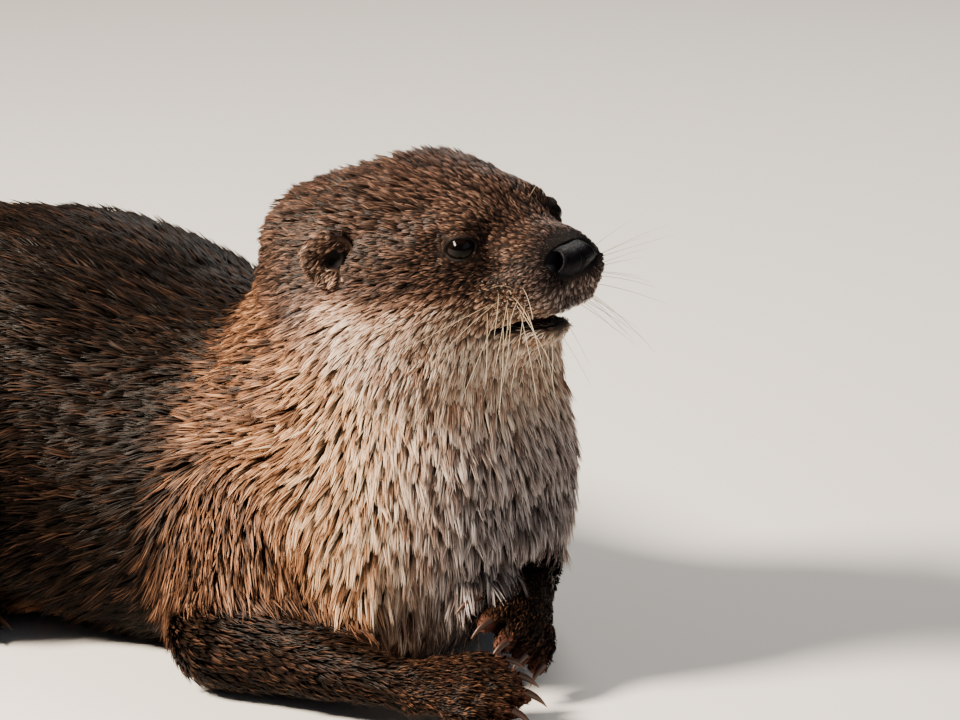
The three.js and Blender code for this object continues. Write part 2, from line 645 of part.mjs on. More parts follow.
// ---- The group, with its origin on the floor under the middle of the animal ----
const otter = new THREE.Group();
for (const [name, { body, colour, rough }] of parts) {
  const material = new THREE.MeshStandardMaterial({ color: colour, roughness: rough, metalness: 0, flatShading: true });
  const mesh = new THREE.Mesh(geometryOf(body), material);
  mesh.name = name;
  otter.add(mesh);
}
const extent = new THREE.Box3().setFromObject(otter);
const middle = extent.getCenter(vec(0, 0, 0));
otter.position.set(-middle.x, -middle.y, -extent.min.z);

export default otter;
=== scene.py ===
# A still river otter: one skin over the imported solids, and a coat of mesh tufts that follows its lie.
import math

import bmesh
import bpy
import numpy as np
from mathutils import Matrix, Vector, kdtree
from mathutils.bvhtree import BVHTree


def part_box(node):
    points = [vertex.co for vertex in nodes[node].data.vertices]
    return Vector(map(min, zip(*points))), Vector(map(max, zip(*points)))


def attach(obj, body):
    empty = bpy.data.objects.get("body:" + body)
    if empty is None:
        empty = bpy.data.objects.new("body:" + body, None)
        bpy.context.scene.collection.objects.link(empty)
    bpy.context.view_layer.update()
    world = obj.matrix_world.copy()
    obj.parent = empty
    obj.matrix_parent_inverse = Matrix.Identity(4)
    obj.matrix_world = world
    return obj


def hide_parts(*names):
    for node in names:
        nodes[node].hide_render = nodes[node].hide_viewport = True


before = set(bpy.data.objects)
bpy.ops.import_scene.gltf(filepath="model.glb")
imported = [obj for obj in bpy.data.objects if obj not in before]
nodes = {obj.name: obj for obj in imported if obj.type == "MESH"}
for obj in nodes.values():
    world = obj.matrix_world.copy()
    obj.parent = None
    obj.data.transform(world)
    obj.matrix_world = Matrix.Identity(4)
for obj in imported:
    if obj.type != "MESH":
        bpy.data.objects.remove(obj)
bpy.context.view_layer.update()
mm = 0.001
rng = np.random.default_rng(11)
sides = {"right": -1, "left": 1}
print("frame loaded:", len(nodes), "nodes")


# small helpers

def unit(v):
    return v / np.maximum(np.linalg.norm(v, axis=-1, keepdims=True), 1e-12)


def dot(a, b):
    return (a * b).sum(-1)


def ramp(low, high, x):
    t = np.clip((x - low) / (high - low), 0, 1)
    return t * t * (3 - 2 * t)


def mix(a, b, t):
    return a + (b - a) * t


def column(x):
    return np.asarray(x)[:, None]


def centreOf(name):
    low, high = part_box(name)
    return np.array((low + high) / 2)


def trianglesOf(mesh):
    points = np.empty(len(mesh.vertices) * 3)
    mesh.vertices.foreach_get("co", points)
    mesh.calc_loop_triangles()
    tris = np.empty(len(mesh.loop_triangles) * 3, np.int32)
    mesh.loop_triangles.foreach_get("vertices", tris)
    return points.reshape(-1, 3), tris.reshape(-1, 3)


def welded(points, tris):
    places = np.round(points / 1e-6).astype(np.int64)
    _, first, back = np.unique(places, axis=0, return_index=True, return_inverse=True)
    return points[first], back.reshape(-1)[tris]


def normalsOf(points, tris):
    a, b, c = (points[tris[:, i]] for i in range(3))
    face = np.cross(b - a, c - a)
    total = np.zeros_like(points)
    for i in range(3):
        for axis in range(3):
            total[:, axis] += np.bincount(tris[:, i], face[:, axis], len(points))
    return unit(total)


def makeMesh(name, points, faces):
    mesh = bpy.data.meshes.new(name)
    size = faces.shape[1]
    mesh.vertices.add(len(points))
    mesh.vertices.foreach_set("co", np.asarray(points, np.float32).ravel())
    mesh.loops.add(faces.size)
    mesh.loops.foreach_set("vertex_index", np.asarray(faces, np.int32).ravel())
    mesh.polygons.add(len(faces))
    mesh.polygons.foreach_set("loop_start", np.arange(0, faces.size, size, dtype=np.int32))
    mesh.update(calc_edges=True)
    mesh.polygons.foreach_set("use_smooth", np.ones(len(faces), bool))
    return mesh


def placed(name, mesh):
    piece = bpy.data.objects.new(name, mesh)
    bpy.context.scene.collection.objects.link(piece)
    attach(piece, "root")
    return piece


def paint(mesh, name, values):
    layer = mesh.color_attributes.new(name=name, type="FLOAT_COLOR", domain="POINT")
    colours = np.ones((len(mesh.vertices), 4), np.float32)
    colours[:, :values.shape[1]] = values
    layer.data.foreach_set("color", colours.ravel())


# the head's own frame: x to the nose, y to the left, z up, in millimetres from the nose's front
headValues = {
    "eyeBack": 33.5,  # how far the eyes lie behind the nose's front
    "eyeRise": 12.0,
    "padDrop": 22.9,  # degrees from straight ahead down to the nose pad, seen from between the eyes
}
eyeCentres = {name: centreOf("eye_" + name) for name in sides}
eyeMiddle = (eyeCentres["left"] + eyeCentres["right"]) / 2
headLeft = unit(eyeCentres["left"] - eyeCentres["right"])
toPad = centreOf("nose") - eyeMiddle
toPad = unit(toPad - headLeft * dot(toPad, headLeft))
padTurn = Matrix.Rotation(math.radians(-headValues["padDrop"]), 3, Vector(headLeft))
headForward = np.array(padTurn @ Vector(toPad))
headUp = np.cross(headForward, headLeft)
headAxes = np.stack([headForward, headLeft, headUp])
headOrigin = eyeMiddle + (headForward * headValues["eyeBack"] - headUp * headValues["eyeRise"]) * mm


def toHead(points):
    return (points - headOrigin) @ headAxes.T / mm


def fromHead(points):
    return np.asarray(points) @ headAxes * mm + headOrigin


print("head at", np.round(headOrigin / mm, 1), "facing", np.round(headForward, 3))


# what each region of the body wears: lengths in millimetres, lift in degrees, crowd in tufts per mm2.
# Each solid grows before they melt together, so that the cuts between them close, and shrinks again after
coatColumns = ("grow", "soft", "depth", "length", "width", "crowd", "lift")
coatRows = {
    "head": (2.0, 0.13, 1.6, 6.2, 0.64, 1.95, 13),
    "jaw": (2.2, 0.05, 0.8, 5.6, 0.75, 1.5, 14),
    "nose": (1.4, 0.03, 0.4, 1.6, 0.35, 2.4, 10),
    "neck": (2.6, 0.85, 4.2, 11.5, 0.76, 1.30, 18),
    "chest": (3.0, 1.0, 4.6, 12.5, 0.78, 0.98, 18),
    "loin": (3.0, 1.0, 5.0, 14.5, 1.0, 0.40, 16),
    "rump": (2.0, 1.0, 5.0, 13.5, 1.2, 0.33, 16),
    "tail": (0.6, 0.6, 3.2, 10.0, 1.1, 0.36, 14),
    "arm": (3.0, 0.9, 4.0, 11.0, 1.0, 0.55, 18),
    "forearm": (1.2, 0.5, 2.6, 7.5, 0.9, 0.7, 15),
    "forepaw": (0.45, 0.05, 0.5, 3.2, 0.6, 1.1, 12),
    "thigh": (3.0, 1.0, 4.6, 12.5, 1.1, 0.38, 17),
    "shank": (1.5, 0.5, 3.2, 9.0, 1.0, 0.5, 15),
    "hindpaw": (0.45, 0.05, 0.6, 3.4, 0.65, 0.9, 12),
}
coatValues = {name: dict(zip(coatColumns, row)) for name, row in coatRows.items()}
regionNames = list(coatValues)
fleshNodes = [n for n in nodes if n.split("_")[0] in coatValues]
ownerRegion = np.array([regionNames.index(n.split("_")[0]) for n in fleshNodes])

skinValues = {
    "voxel": 2.0,
    "smoothing": 80,  # rounds, at full softness
    "blending": 14,  # rounds over which the coat's depth passes from region to region
    "floor": 0.5,
    # the nape and the muzzle: where they start and are reached, along the head
    "nape": (-84.0, -112.0),
    "napeSoft": 0.95,
    "muzzle": (-58.0, -32.0),
    "muzzleSoft": 0.06,
    "muzzleDepth": 1.15,
    "fineReach": -76,  # the head is finer in front of this
    "pawBlow": 3.5,
    "pawDepth": 0.45,
    "pawReach": (30.0, 17.0),  # how far from the claws the paws keep their fingers' form
    "pawRounds": 5,
    "fingerReach": 21.0,
    "tipReach": (8.0, 80.0),  # the tail's end is smoothed and shrunk less
    "tipSoft": 0.10,
    "tipDepth": 0.10,
    "clefts": 2.4,  # how deep the skin sinks between the fingers
    "eyeGrow": 0.4,
}


def fleshSolids(names, growing):
    allPoints, allTris, owner, start = [], [], [], 0
    for index, name in enumerate(names):
        points, tris = welded(*trianglesOf(nodes[name].data))
        grow = coatValues.get(name.split("_")[0], {"grow": skinValues["eyeGrow"]})["grow"] * mm * growing
        allPoints.append(points + normalsOf(points, tris) * grow)
        allTris.append(tris + start)
        owner.append(np.full(len(tris), index))
        start += len(points)
    return np.concatenate(allPoints), np.concatenate(allTris), np.concatenate(owner)


def remeshed(points, tris, voxel):
    rough = bpy.data.objects.new("rough", makeMesh("rough", points, tris))
    bpy.context.scene.collection.objects.link(rough)
    melt = rough.modifiers.new("melt", "REMESH")
    melt.mode = "VOXEL"
    melt.voxel_size = voxel
    fine = bpy.data.meshes.new_from_object(rough.evaluated_get(bpy.context.evaluated_depsgraph_get()))
    bpy.data.objects.remove(rough)
    return fine


def outerShell(points, tris):
    # only the largest connected surface is kept
    label = np.arange(len(points))
    a, b = tris[:, [0, 1, 2]].ravel(), tris[:, [1, 2, 0]].ravel()
    while True:
        least = np.minimum(label[a], label[b])
        old = label.copy()
        np.minimum.at(label, a, least)
        np.minimum.at(label, b, least)
        label = label[label]
        if (label == old).all():
            break
    keep = label[tris[:, 0]] == np.bincount(label).argmax()
    used = np.unique(tris[keep])
    renumber = np.full(len(points), -1)
    renumber[used] = np.arange(len(used))
    return points[used], renumber[tris[keep]]


class Web:
    # a triangle surface's edges, for spreading values from neighbour to neighbour
    def __init__(self, tris, count):
        pairs = np.sort(np.concatenate([tris[:, [0, 1]], tris[:, [1, 2]], tris[:, [2, 0]]]), axis=1)
        self.pairs = np.unique(pairs, axis=0)
        self.count = count
        self.degree = np.maximum(np.bincount(self.pairs.ravel(), minlength=count), 1)

    def mean(self, values):
        a, b = self.pairs.T
        flat = values.reshape(self.count, -1).T
        total = [np.bincount(a, v[b], self.count) + np.bincount(b, v[a], self.count) for v in flat]
        return (np.stack(total, axis=1) / self.degree[:, None]).reshape(values.shape)

    def spread(self, values, rounds, share=0.5):
        share = np.reshape(share, (-1,) + (1,) * (values.ndim - 1))
        for _ in range(rounds):
            values = values + (self.mean(values) - values) * share
        return values


def regionValues(which, key):
    return np.array([coatValues[name][key] for name in regionNames])[which]


def nearestSolids(points):
    return solidOwner[np.array([solidTree.find_nearest(Vector(p))[2] for p in points])]


def subdivided(points, tris, chosen):
    # splits the chosen triangles' edges in two; the neighbours are triangulated to fit
    bm = bmesh.new()
    mesh = makeMesh("coarse", points, tris)
    bm.from_mesh(mesh)
    bpy.data.meshes.remove(mesh)
    bm.faces.ensure_lookup_table()
    edges = {e for i in np.flatnonzero(chosen) for e in bm.faces[i].edges}
    bmesh.ops.subdivide_edges(bm, edges=list(edges), cuts=1, use_grid_fill=True)
    bmesh.ops.triangulate(bm, faces=bm.faces[:])
    mesh = bpy.data.meshes.new("finer")
    bm.to_mesh(mesh)
    bm.free()
    result = trianglesOf(mesh)
    bpy.data.meshes.remove(mesh)
    return result


solidPoints, solidTris, solidOwner = fleshSolids(fleshNodes, 0)
solidTree = BVHTree.FromPolygons(solidPoints.tolist(), solidTris.tolist())
grownPoints, grownTris, _ = fleshSolids(fleshNodes + ["eye_right", "eye_left"], 1)
melted = remeshed(grownPoints, grownTris, skinValues["voxel"] * mm)
skinPoints, skinTris = outerShell(*trianglesOf(melted))
skinOwner = nearestSolids(skinPoints)
web = Web(skinTris, len(skinPoints))
# the muzzle is smoothed least and wears the thinnest coat
muzzle = ramp(*skinValues["muzzle"], toHead(skinPoints)[:, 0])
soft = mix(regionValues(ownerRegion[skinOwner], "soft"), skinValues["muzzleSoft"], muzzle)
# the back of the head flows into the nape
nape = ramp(*skinValues["nape"], toHead(skinPoints)[:, 0])
soft = web.spread(np.maximum(soft, nape * skinValues["napeSoft"] * (soft > 0.1)), 6)
endPoints = trianglesOf(nodes["tail_end"].data)[0]
tailTip = endPoints[np.linalg.norm(endPoints - centreOf("tail_root"), axis=1).argmax()]
fromTip = ramp(*skinValues["tipReach"], np.linalg.norm(skinPoints - tailTip, axis=1) / mm)
soft = soft * mix(skinValues["tipSoft"], 1, fromTip)
skinPoints = web.spread(skinPoints, skinValues["smoothing"], soft * 0.5)
shrinkBy = regionValues(ownerRegion[skinOwner], "depth") + regionValues(ownerRegion[skinOwner], "grow")
muzzleShrink = skinValues["muzzleDepth"] + coatValues["head"]["grow"]
depth = mix(web.spread(shrinkBy, skinValues["blending"]), muzzleShrink, muzzle)
depth = depth * mix(skinValues["tipDepth"], 1, fromTip)
skinPoints = skinPoints - normalsOf(skinPoints, skinTris) * column(depth) * mm
skinPoints = web.spread(skinPoints, 6, soft * 0.5)
print("skin melted:", len(skinPoints), "points", len(skinTris), "triangles")


# the face: the skin is made finer here, then gets its mouth, lids, nose bed and folds. Everything is in
# the head's frame, in millimetres, for the left side. Pairs are where a change starts and ends
faceValues = {
    "gaze": (0.50, 0.87, -0.02),  # the way an eye looks
    # degrees from the eye's axis to a corner of the lids, and to their edges above and below
    "openWide": 53.0,
    "openHigh": 31.0,
    "openLow": 38.0,
    "lidTurn": 0.35,
    # the inner and outer corners: degrees they reach further, their turn round the axis, and their spread
    "corners": ((11.0, -0.25, 0.38), (6.0, math.pi, 0.3)),
    "lidRise": 0.75,  # how far a lid stands off the eye
    "lidUnder": 1.6,  # and how far the skin passes behind the eye's surface
    "lidEdge": (-3, 2),  # degrees past the opening
    "lidThin": 0.35,
    "lidBack": (8, 40),
    "lidHold": 1.5,
    "lidReach": 9.0,
    "lidBlend": (62.0, 22.0),  # degrees past the opening over which a lid melts into the skin
    "mouthCorner": (-37.0, -21.4),
    "mouthStart": (-1.0, 3.0),
    "mouthRise": -2.0,
    "mouthBase": 0.25,
    "mouthSlope": 0.086,
    "mouthEdge": (0.55, -0.45),
    "mouthDeep": 8.5,
    "mouthDeepens": (-1, 12),
    "mouthInto": 4.0,  # the skin is drawn towards a point this far behind the corner
    "mouthMost": 0.62,  # and by this share of the way at most
    "lipAt": 2.2,
    "lipWide": 1.2,
    "lipBack": -44.0,
    "lipRise": 0.5,
    "lipRound": 3.4,
    "lipTurn": 2.2,
    "lipPast": 3.0,
    "padAt": (-7.2, 0.0, -0.9),
    "padRadii": (9.0, 13.8, 6.3),
    "bedSunk": 0.5,
    "bedEdge": (1.14, 1.0),
    "bedBack": -16.0,
    # swellings of the lips on either side: middle, radii, way and height
    "puffs": (((-9.0, 8.5, -10.5), (6.5, 7.0, 5.5), (0.8, 0.6, -0.15), 3.8),
              ((-11.0, 5.0, -17.2), (7.5, 8.5, 4.2), (0.93, 0.3, -0.1), 4.6)),
    # the solids' own gap between the jaws is smoothed away first
    "gapAt": -18.5,
    "gapHigh": 4.5,
    "gapReach": (-40, -28),
    "gapRounds": 40,
    "gapShare": 0.6,
    # the groove from the nose down to the lip
    "grooveWide": 1.1,
    "grooveFoot": (-15.5, -13),
    "grooveTop": (-5, -8),
    "grooveFront": (-14, -9),
    "foldsFrom": (5, 10),  # the folds fade out towards the middle line
    "foldsBack": -100,
}
# how far the finest points reach: round the eyes and lids, behind the nose's front, past the lips
fineValues = {"eye": 15, "lids": 11.5, "nose": -19, "lips": 5, "corner": 6}
# a fold's line seen from the side in (x, z) points, its height (negative is a groove) and its width
folds = (
    (((-23, 8), (-29, 3.5), (-38, 3.2), (-45, 7.0)), -0.75, 1.7),  # below the eye
    (((-25, 13), (-31, 20.5), (-41, 21.5), (-47, 16)), 0.9, 3.0),  # the brow
    (((-26, 16), (-33, 18.8), (-41, 18)), -0.5, 1.3),  # the crease of the upper lid
    (((-44, 9), (-54, 6), (-66, 5)), -0.6, 1.8),  # from the eye's outer corner back
    (((-43, 4), (-52, -1), (-62, -3)), -0.55, 1.8),
    (((-14, 2), (-24, 1), (-31, -4), (-35, -13)), -0.8, 2.2),  # behind the whisker pad
    (((-20, 7), (-24, 12), (-30, 18)), -0.4, 2.0),
    (((-62, 22), (-70, 21), (-76, 17)), -0.5, 2.2),
    (((-15, -6), (-15, -6.01)), 0.9, 8.0),  # the whisker pad
    (((-50, -12), (-62, -14)), 0.8, 9.0),  # the cheek
)


def lineDistance(x, z, line):
    best = np.full(len(x), 1e9)
    for (x0, z0), (x1, z1) in zip(line, line[1:]):
        span = np.array([x1 - x0, z1 - z0])
        t = np.clip(((x - x0) * span[0] + (z - z0) * span[1]) / max(span @ span, 1e-9), 0, 1)
        best = np.minimum(best, np.hypot(x - x0 - t * span[0], z - z0 - t * span[1]))
    return best


def eyeAxes(side):
    # the way an eye looks, the way across its lids (to the nose) and up
    out = unit(np.array(faceValues["gaze"]) * (1, side, 1))
    across = unit(np.array([1, 0, 0]) - out * out[0])
    return out, across, np.cross(out, across) * side


def lidOpening(turn):
    # the half angle of the lids' opening at a turn round the eye's axis, 0 at the inner corner, in degrees
    v = faceValues
    high = mix(v["openLow"], v["openHigh"], ramp(-v["lidTurn"], v["lidTurn"], np.sin(turn)))
    opening = v["openWide"] * high / np.hypot(high * np.cos(turn), v["openWide"] * np.sin(turn))
    for reach, place, spread in v["corners"]:
        away = np.angle(np.exp(1j * (turn - place)))
        opening = opening + reach * np.exp(-(away / spread) ** 2)
    return opening


def aroundEye(h, side):
    # distance from the eye's middle, degrees from its axis, and the turn round it
    out, across, up = eyeAxes(side)
    v = h - toHead(eyeCentres["left" if side > 0 else "right"])
    r = np.linalg.norm(v, axis=1)
    angle = np.degrees(np.arccos(np.clip(v @ out / np.maximum(r, 1e-9), -1, 1)))
    return r, angle, np.arctan2(v @ up, v @ across)


def mouthShape(h):
    # how far above the mouth's middle a point is, the mouth's half height there, and how much is inside it
    v = faceValues
    u = h[:, 0] - v["mouthCorner"][0]
    middle = v["mouthCorner"][1] + u * math.tan(math.radians(v["mouthRise"]))
    half = v["mouthBase"] + np.maximum(u, 0) * v["mouthSlope"]
    return h[:, 2] - middle, half, ramp(*v["mouthStart"], u)


def padShare(h):
    return np.linalg.norm((h - faceValues["padAt"]) / faceValues["padRadii"], axis=1)


eyeRadius = float(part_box("eye_left")[1][2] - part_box("eye_left")[0][2]) / 2 / mm


def smoothGap(points, tris):
    v = faceValues
    h = toHead(points)
    gap = np.exp(-((h[:, 2] - v["gapAt"]) / v["gapHigh"]) ** 2) * ramp(*v["gapReach"], h[:, 0])
    return Web(tris, len(points)).spread(points, v["gapRounds"], gap * v["gapShare"])


def addFolds(h, normals):
    v = faceValues
    outside = ramp(*v["foldsFrom"], np.abs(h[:, 1])) * (h[:, 0] > v["foldsBack"])
    for line, height, width in folds:
        away = lineDistance(h[:, 0], h[:, 2], line)
        h = h + normals * column(height * np.exp(-(away / width) ** 2) * outside)
    return h


def addPuffs(h, side):
    mirrored = h * (1, 0, 1) + np.abs(h) * (0, 1, 0)
    oneSide = column(side) * (0, 1, 0) + (1, 0, 1)
    for at, radii, way, height in faceValues["puffs"]:
        away = np.linalg.norm((mirrored - at) / radii, axis=1)
        h = h + unit(np.array(way)) * oneSide * column(height * np.exp(-away ** 2))
    return h


def addGroove(h, normals):
    v = faceValues
    groove = np.exp(-(h[:, 1] / v["grooveWide"]) ** 2) * ramp(*v["grooveFoot"], h[:, 2])
    return h - normals * column(groove * ramp(*v["grooveTop"], h[:, 2]) * ramp(*v["grooveFront"], h[:, 0]))


def sinkNoseBed(h):
    v = faceValues
    share = padShare(h)
    sunk = np.minimum(1, v["bedSunk"] / np.maximum(share, 1e-9))
    inBed = ramp(*v["bedEdge"], share) * (h[:, 0] > v["bedBack"])
    return mix(h, np.array(v["padAt"]) + (h - v["padAt"]) * column(sunk), column(inBed))


def openMouth(h, normals):
    v = faceValues
    below, half, ahead = mouthShape(h)
    inside = ramp(half + v["mouthEdge"][0], half + v["mouthEdge"][1], np.abs(below)) * ahead
    lip = np.exp(-((np.abs(below) - half - v["lipAt"]) / v["lipWide"]) ** 2) * ahead
    h = h + normals * column(lip * (h[:, 0] > v["lipBack"]) * v["lipRise"])
    past = h[:, 0] - v["mouthCorner"][0]
    inward = np.stack([past + v["mouthInto"], h[:, 1], 0 * half], axis=1)
    reach = np.linalg.norm(inward, axis=1)
    step = np.minimum(v["mouthDeep"] * ramp(*v["mouthDeepens"], past), reach * v["mouthMost"])
    onLips = ahead * (past > -v["lipPast"])
    # both lips are rounded towards the opening
    rounded = ramp(half + v["lipRound"], half, np.abs(below)) ** 2
    inside = np.maximum(inside, rounded * v["lipTurn"] / v["mouthDeep"])
    return h - unit(inward) * column(step * inside * onLips)


def shapeLids(h, side):
    v = faceValues
    for name, s in sides.items():
        r, angle, turn = aroundEye(h, s)
        centre = toHead(eyeCentres[name])
        past = angle - lidOpening(turn)
        edge = mix(-v["lidUnder"], v["lidRise"], ramp(*v["lidEdge"], past))
        wanted = eyeRadius + edge - v["lidThin"] * ramp(*v["lidBack"], past)
        held = np.maximum(wanted, np.minimum(r, eyeRadius + v["lidHold"]))
        wanted = np.where(past > v["lidBack"][0], held, wanted)
        share = ramp(*v["lidBlend"], past) * (r < eyeRadius + v["lidReach"]) * (side == s)
        h = mix(h, centre + (h - centre) * column(wanted / np.maximum(r, 1)), column(share))
    return h


def shapeFace(points, tris):
    points = smoothGap(points, tris)
    h = toHead(points)
    normals = normalsOf(points, tris) @ headAxes.T
    side = np.sign(h[:, 1])
    h = addPuffs(addFolds(h, normals), side)
    h = sinkNoseBed(addGroove(h, normals))
    return fromHead(shapeLids(openMouth(h, normals), side))


def refine(points, tris, chosen):
    # splits the chosen points' triangles and rounds their new facets off
    start = len(points)
    points, tris = subdivided(points, tris, chosen[tris].all(axis=1))
    finer = Web(tris, len(points))
    fresh = finer.spread((np.arange(len(points)) >= start).astype(float), 2)
    return finer.spread(points, 2, fresh * 0.5), tris


def nearEyes(h, reach):
    away = [np.linalg.norm(h - toHead(centre), axis=1) for centre in eyeCentres.values()]
    return np.minimum(*away) < reach


def onFace(points):
    # where the face needs its finest points: round the eyes, the nose and the lips
    h = toHead(points)
    below, half, _ = mouthShape(h)
    lips = np.abs(below) < half + fineValues["lips"]
    lips = lips & (h[:, 0] > faceValues["mouthCorner"][0] - fineValues["corner"])
    return nearEyes(h, fineValues["eye"]) | (h[:, 0] > fineValues["nose"]) | lips


def wrapPaws(points, tris, onPaw):
    # blown up past the fingers and drawn back onto the solids, so that they keep their form
    v = skinValues
    finer = Web(tris, len(points))
    weight = finer.spread(onPaw * ramp(*v["pawReach"], nearClaws(points)), v["pawRounds"])
    normals = normalsOf(points, tris)
    blow = v["pawBlow"] * mm
    deep = blow + v["clefts"] * mm
    for i in np.flatnonzero(weight > 0.02):
        loose, inward = Vector(points[i] + normals[i] * blow), Vector(-normals[i])
        at, way, _, _ = solidTree.ray_cast(loose, inward, deep)
        if at is None:
            at, way = loose + inward * deep, -inward
        points[i] = mix(points[i], np.array(at - way * v["pawDepth"] * mm), weight[i])
    return finer.spread(points, 3, weight * 0.45)


def nearClaws(points):
    claws = np.array([centreOf(n) for n in nodes if n.startswith("claw_")])
    return np.min([np.linalg.norm(points - claw, axis=1) for claw in claws], axis=0) / mm


print("shaping the face, eye radius", round(eyeRadius, 2))
pawRegions = [regionNames.index("forepaw"), regionNames.index("hindpaw")]


def onPaws(points):
    return np.isin(ownerRegion[nearestSolids(points)], pawRegions)


fine = (toHead(skinPoints)[:, 0] > skinValues["fineReach"]) | onPaws(skinPoints)
skinPoints, skinTris = refine(skinPoints, skinTris, fine)
skinPoints, skinTris = refine(skinPoints, skinTris, nearClaws(skinPoints) < skinValues["fingerReach"])
skinPoints = wrapPaws(skinPoints, skinTris, onPaws(skinPoints))
skinPoints, skinTris = refine(skinPoints, skinTris, onFace(skinPoints))
skinPoints, skinTris = refine(skinPoints, skinTris, nearEyes(toHead(skinPoints), fineValues["lids"]))
skinPoints = shapeFace(skinPoints, skinTris)
skinPoints[:, 2] = np.maximum(skinPoints[:, 2], skinValues["floor"] * mm)
print("skin refined:", len(skinPoints), "points", len(skinTris), "triangles")


# nose pad, eyes, ears and claws
noseValues = {
    "around": 150,
    "along": 96,
    "fuller": (1.0, 1.03, 1.02),
    # the pad's lower half is narrower and its top broader: the share, and the heights it goes over
    "narrow": (0.20, 0, -8),
    "broad": (0.04, 0, 6),
    "nostrilAt": (0.44, 0.80, 0.22),  # where it opens on the pad, as shares of the pad's radii
    "slitWay": (0.94, 0.34),  # how much of the slit runs back, and outwards
    "slit": ((0.0, 0.0), (3.6, 0.7), (7.2, 2.4)),  # the comma's line, back and up from the opening
    "slitWidths": (3.3, 3.0, 1.6),
    "slitBack": -0.8,
    "nostrilDeep": 7.5,
    "nostrilEdge": (0.5, -1.3),
    "nostrilWay": (0.45, 0.85, 0.1),
    "rim": (0.40, 1.0, 0.9),  # its height, its distance from the opening and its width
    "septum": (0.8, 0.7),  # its depth and width
    "septumHigh": (4, -2),
    "grain": 0.10,
    # faces this deep in the nostrils get a near-black material: painted shade in the holes
    "shadeFrom": 0.42,
}


def ballPoints(around, along):
    # a grid of directions with its poles to the left and right, and its quads split in two
    turn = np.linspace(0, 2 * math.pi, around, endpoint=False)
    tilt = np.linspace(0, math.pi, along)
    t, p = np.meshgrid(turn, tilt)
    way = np.stack([np.sin(p) * np.cos(t), np.cos(p), np.sin(p) * np.sin(t)], axis=-1).reshape(-1, 3)
    return way, gridTris(along, around)


def gridTris(rows, columns):
    # rows of points that each close on themselves
    r, c = np.meshgrid(np.arange(rows - 1), np.arange(columns), indexing="ij")
    a = (r * columns + c).ravel()
    b = (r * columns + (c + 1) % columns).ravel()
    return np.concatenate([np.stack([a, b, b + columns], 1), np.stack([a, b + columns, a + columns], 1)])


def slitDistance(along, rise):
    # how far a place is from the comma's edge, below 0 inside it
    v = noseValues
    away = np.full(len(along), 1e9)
    for (a0, r0), (a1, r1), w0, w1 in zip(v["slit"], v["slit"][1:], v["slitWidths"], v["slitWidths"][1:]):
        span = np.array([a1 - a0, r1 - r0])
        t = np.clip(((along - a0) * span[0] + (rise - r0) * span[1]) / (span @ span), 0, 1)
        away = np.minimum(away, np.hypot(along - a0 - t * span[0], rise - r0 - t * span[1]) - mix(w0, w1, t))
    return away


def leatherGrain(h):
    x, y, z = h.T
    return np.sin(x * 5.1 + 2 * np.sin(z * 2.3)) * np.sin(y * 4.7 + 2 * np.sin(x * 2.9))


def makeNose():
    v = noseValues
    way, tris = ballPoints(v["around"], v["along"])
    radii = np.array(faceValues["padRadii"]) * v["fuller"]
    h = way * radii
    # the pad is squarer than an egg seen from the front, with a lower edge that narrows to the lip
    narrow, broad = (v[key][0] * ramp(*v[key][1:], h[:, 2]) for key in ("narrow", "broad"))
    h[:, 1] *= 1 - narrow + broad
    normal = unit(way / radii)
    side = np.where(h[:, 1] >= 0, 1, -1)
    opening = np.array(v["nostrilAt"]) * radii
    back, rise = -(h[:, 0] - opening[0]), h[:, 2] - opening[2]
    outward = np.abs(h[:, 1]) - opening[1]
    away = slitDistance(back * v["slitWay"][0] + outward * v["slitWay"][1], rise)
    front = way[:, 0] > v["slitBack"]
    pit = ramp(*v["nostrilEdge"], away) * front
    rim = np.exp(-((away - v["rim"][1]) / v["rim"][2]) ** 2) * front
    septum = np.exp(-(h[:, 1] / v["septum"][1]) ** 2) * ramp(*v["septumHigh"], h[:, 2]) * (way[:, 0] > 0)
    h = h + normal * column(rim * v["rim"][0] - septum * v["septum"][0])
    sinkWay = column(0 * rise) + v["nostrilWay"]
    h = h - column(pit * v["nostrilDeep"]) * unit(sinkWay * (column(side) * (0, 1, 0) + (1, 0, 1)))
    h = h + normal * column(v["grain"] * leatherGrain(h) * (1 - pit) * np.sin(h[:, 2] * 4.9 + 1.3))
    mesh = makeMesh("nose_pad", fromHead(h + faceValues["padAt"]), tris[:, ::-1])
    paint(mesh, "marks", np.stack([pit, rim, septum], axis=1))
    piece = placed("nose_pad", mesh)
    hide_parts("nose")
    return piece, pit[tris].mean(axis=1) > v["shadeFrom"]


eyeValues = {
    "around": 96,
    "along": 64,
    "corneaWide": 38.0,  # degrees from the eye's axis
    "corneaRise": 0.55,
}


def makeEye(name, side):
    way, tris = ballPoints(eyeValues["around"], eyeValues["along"])
    out, _, _ = eyeAxes(side)
    angle = np.degrees(np.arccos(np.clip(way @ out, -1, 1)))
    swell = eyeValues["corneaRise"] * ramp(eyeValues["corneaWide"], 4, angle)
    h = toHead(eyeCentres[name]) + way * column(eyeRadius + swell)
    mesh = makeMesh("eyeball_" + name, fromHead(h), tris[:, ::-1])
    paint(mesh, "marks", np.stack([angle / 90, 0 * angle, 0 * angle], axis=1))
    piece = placed("eyeball_" + name, mesh)
    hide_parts("eye_" + name)
    return piece


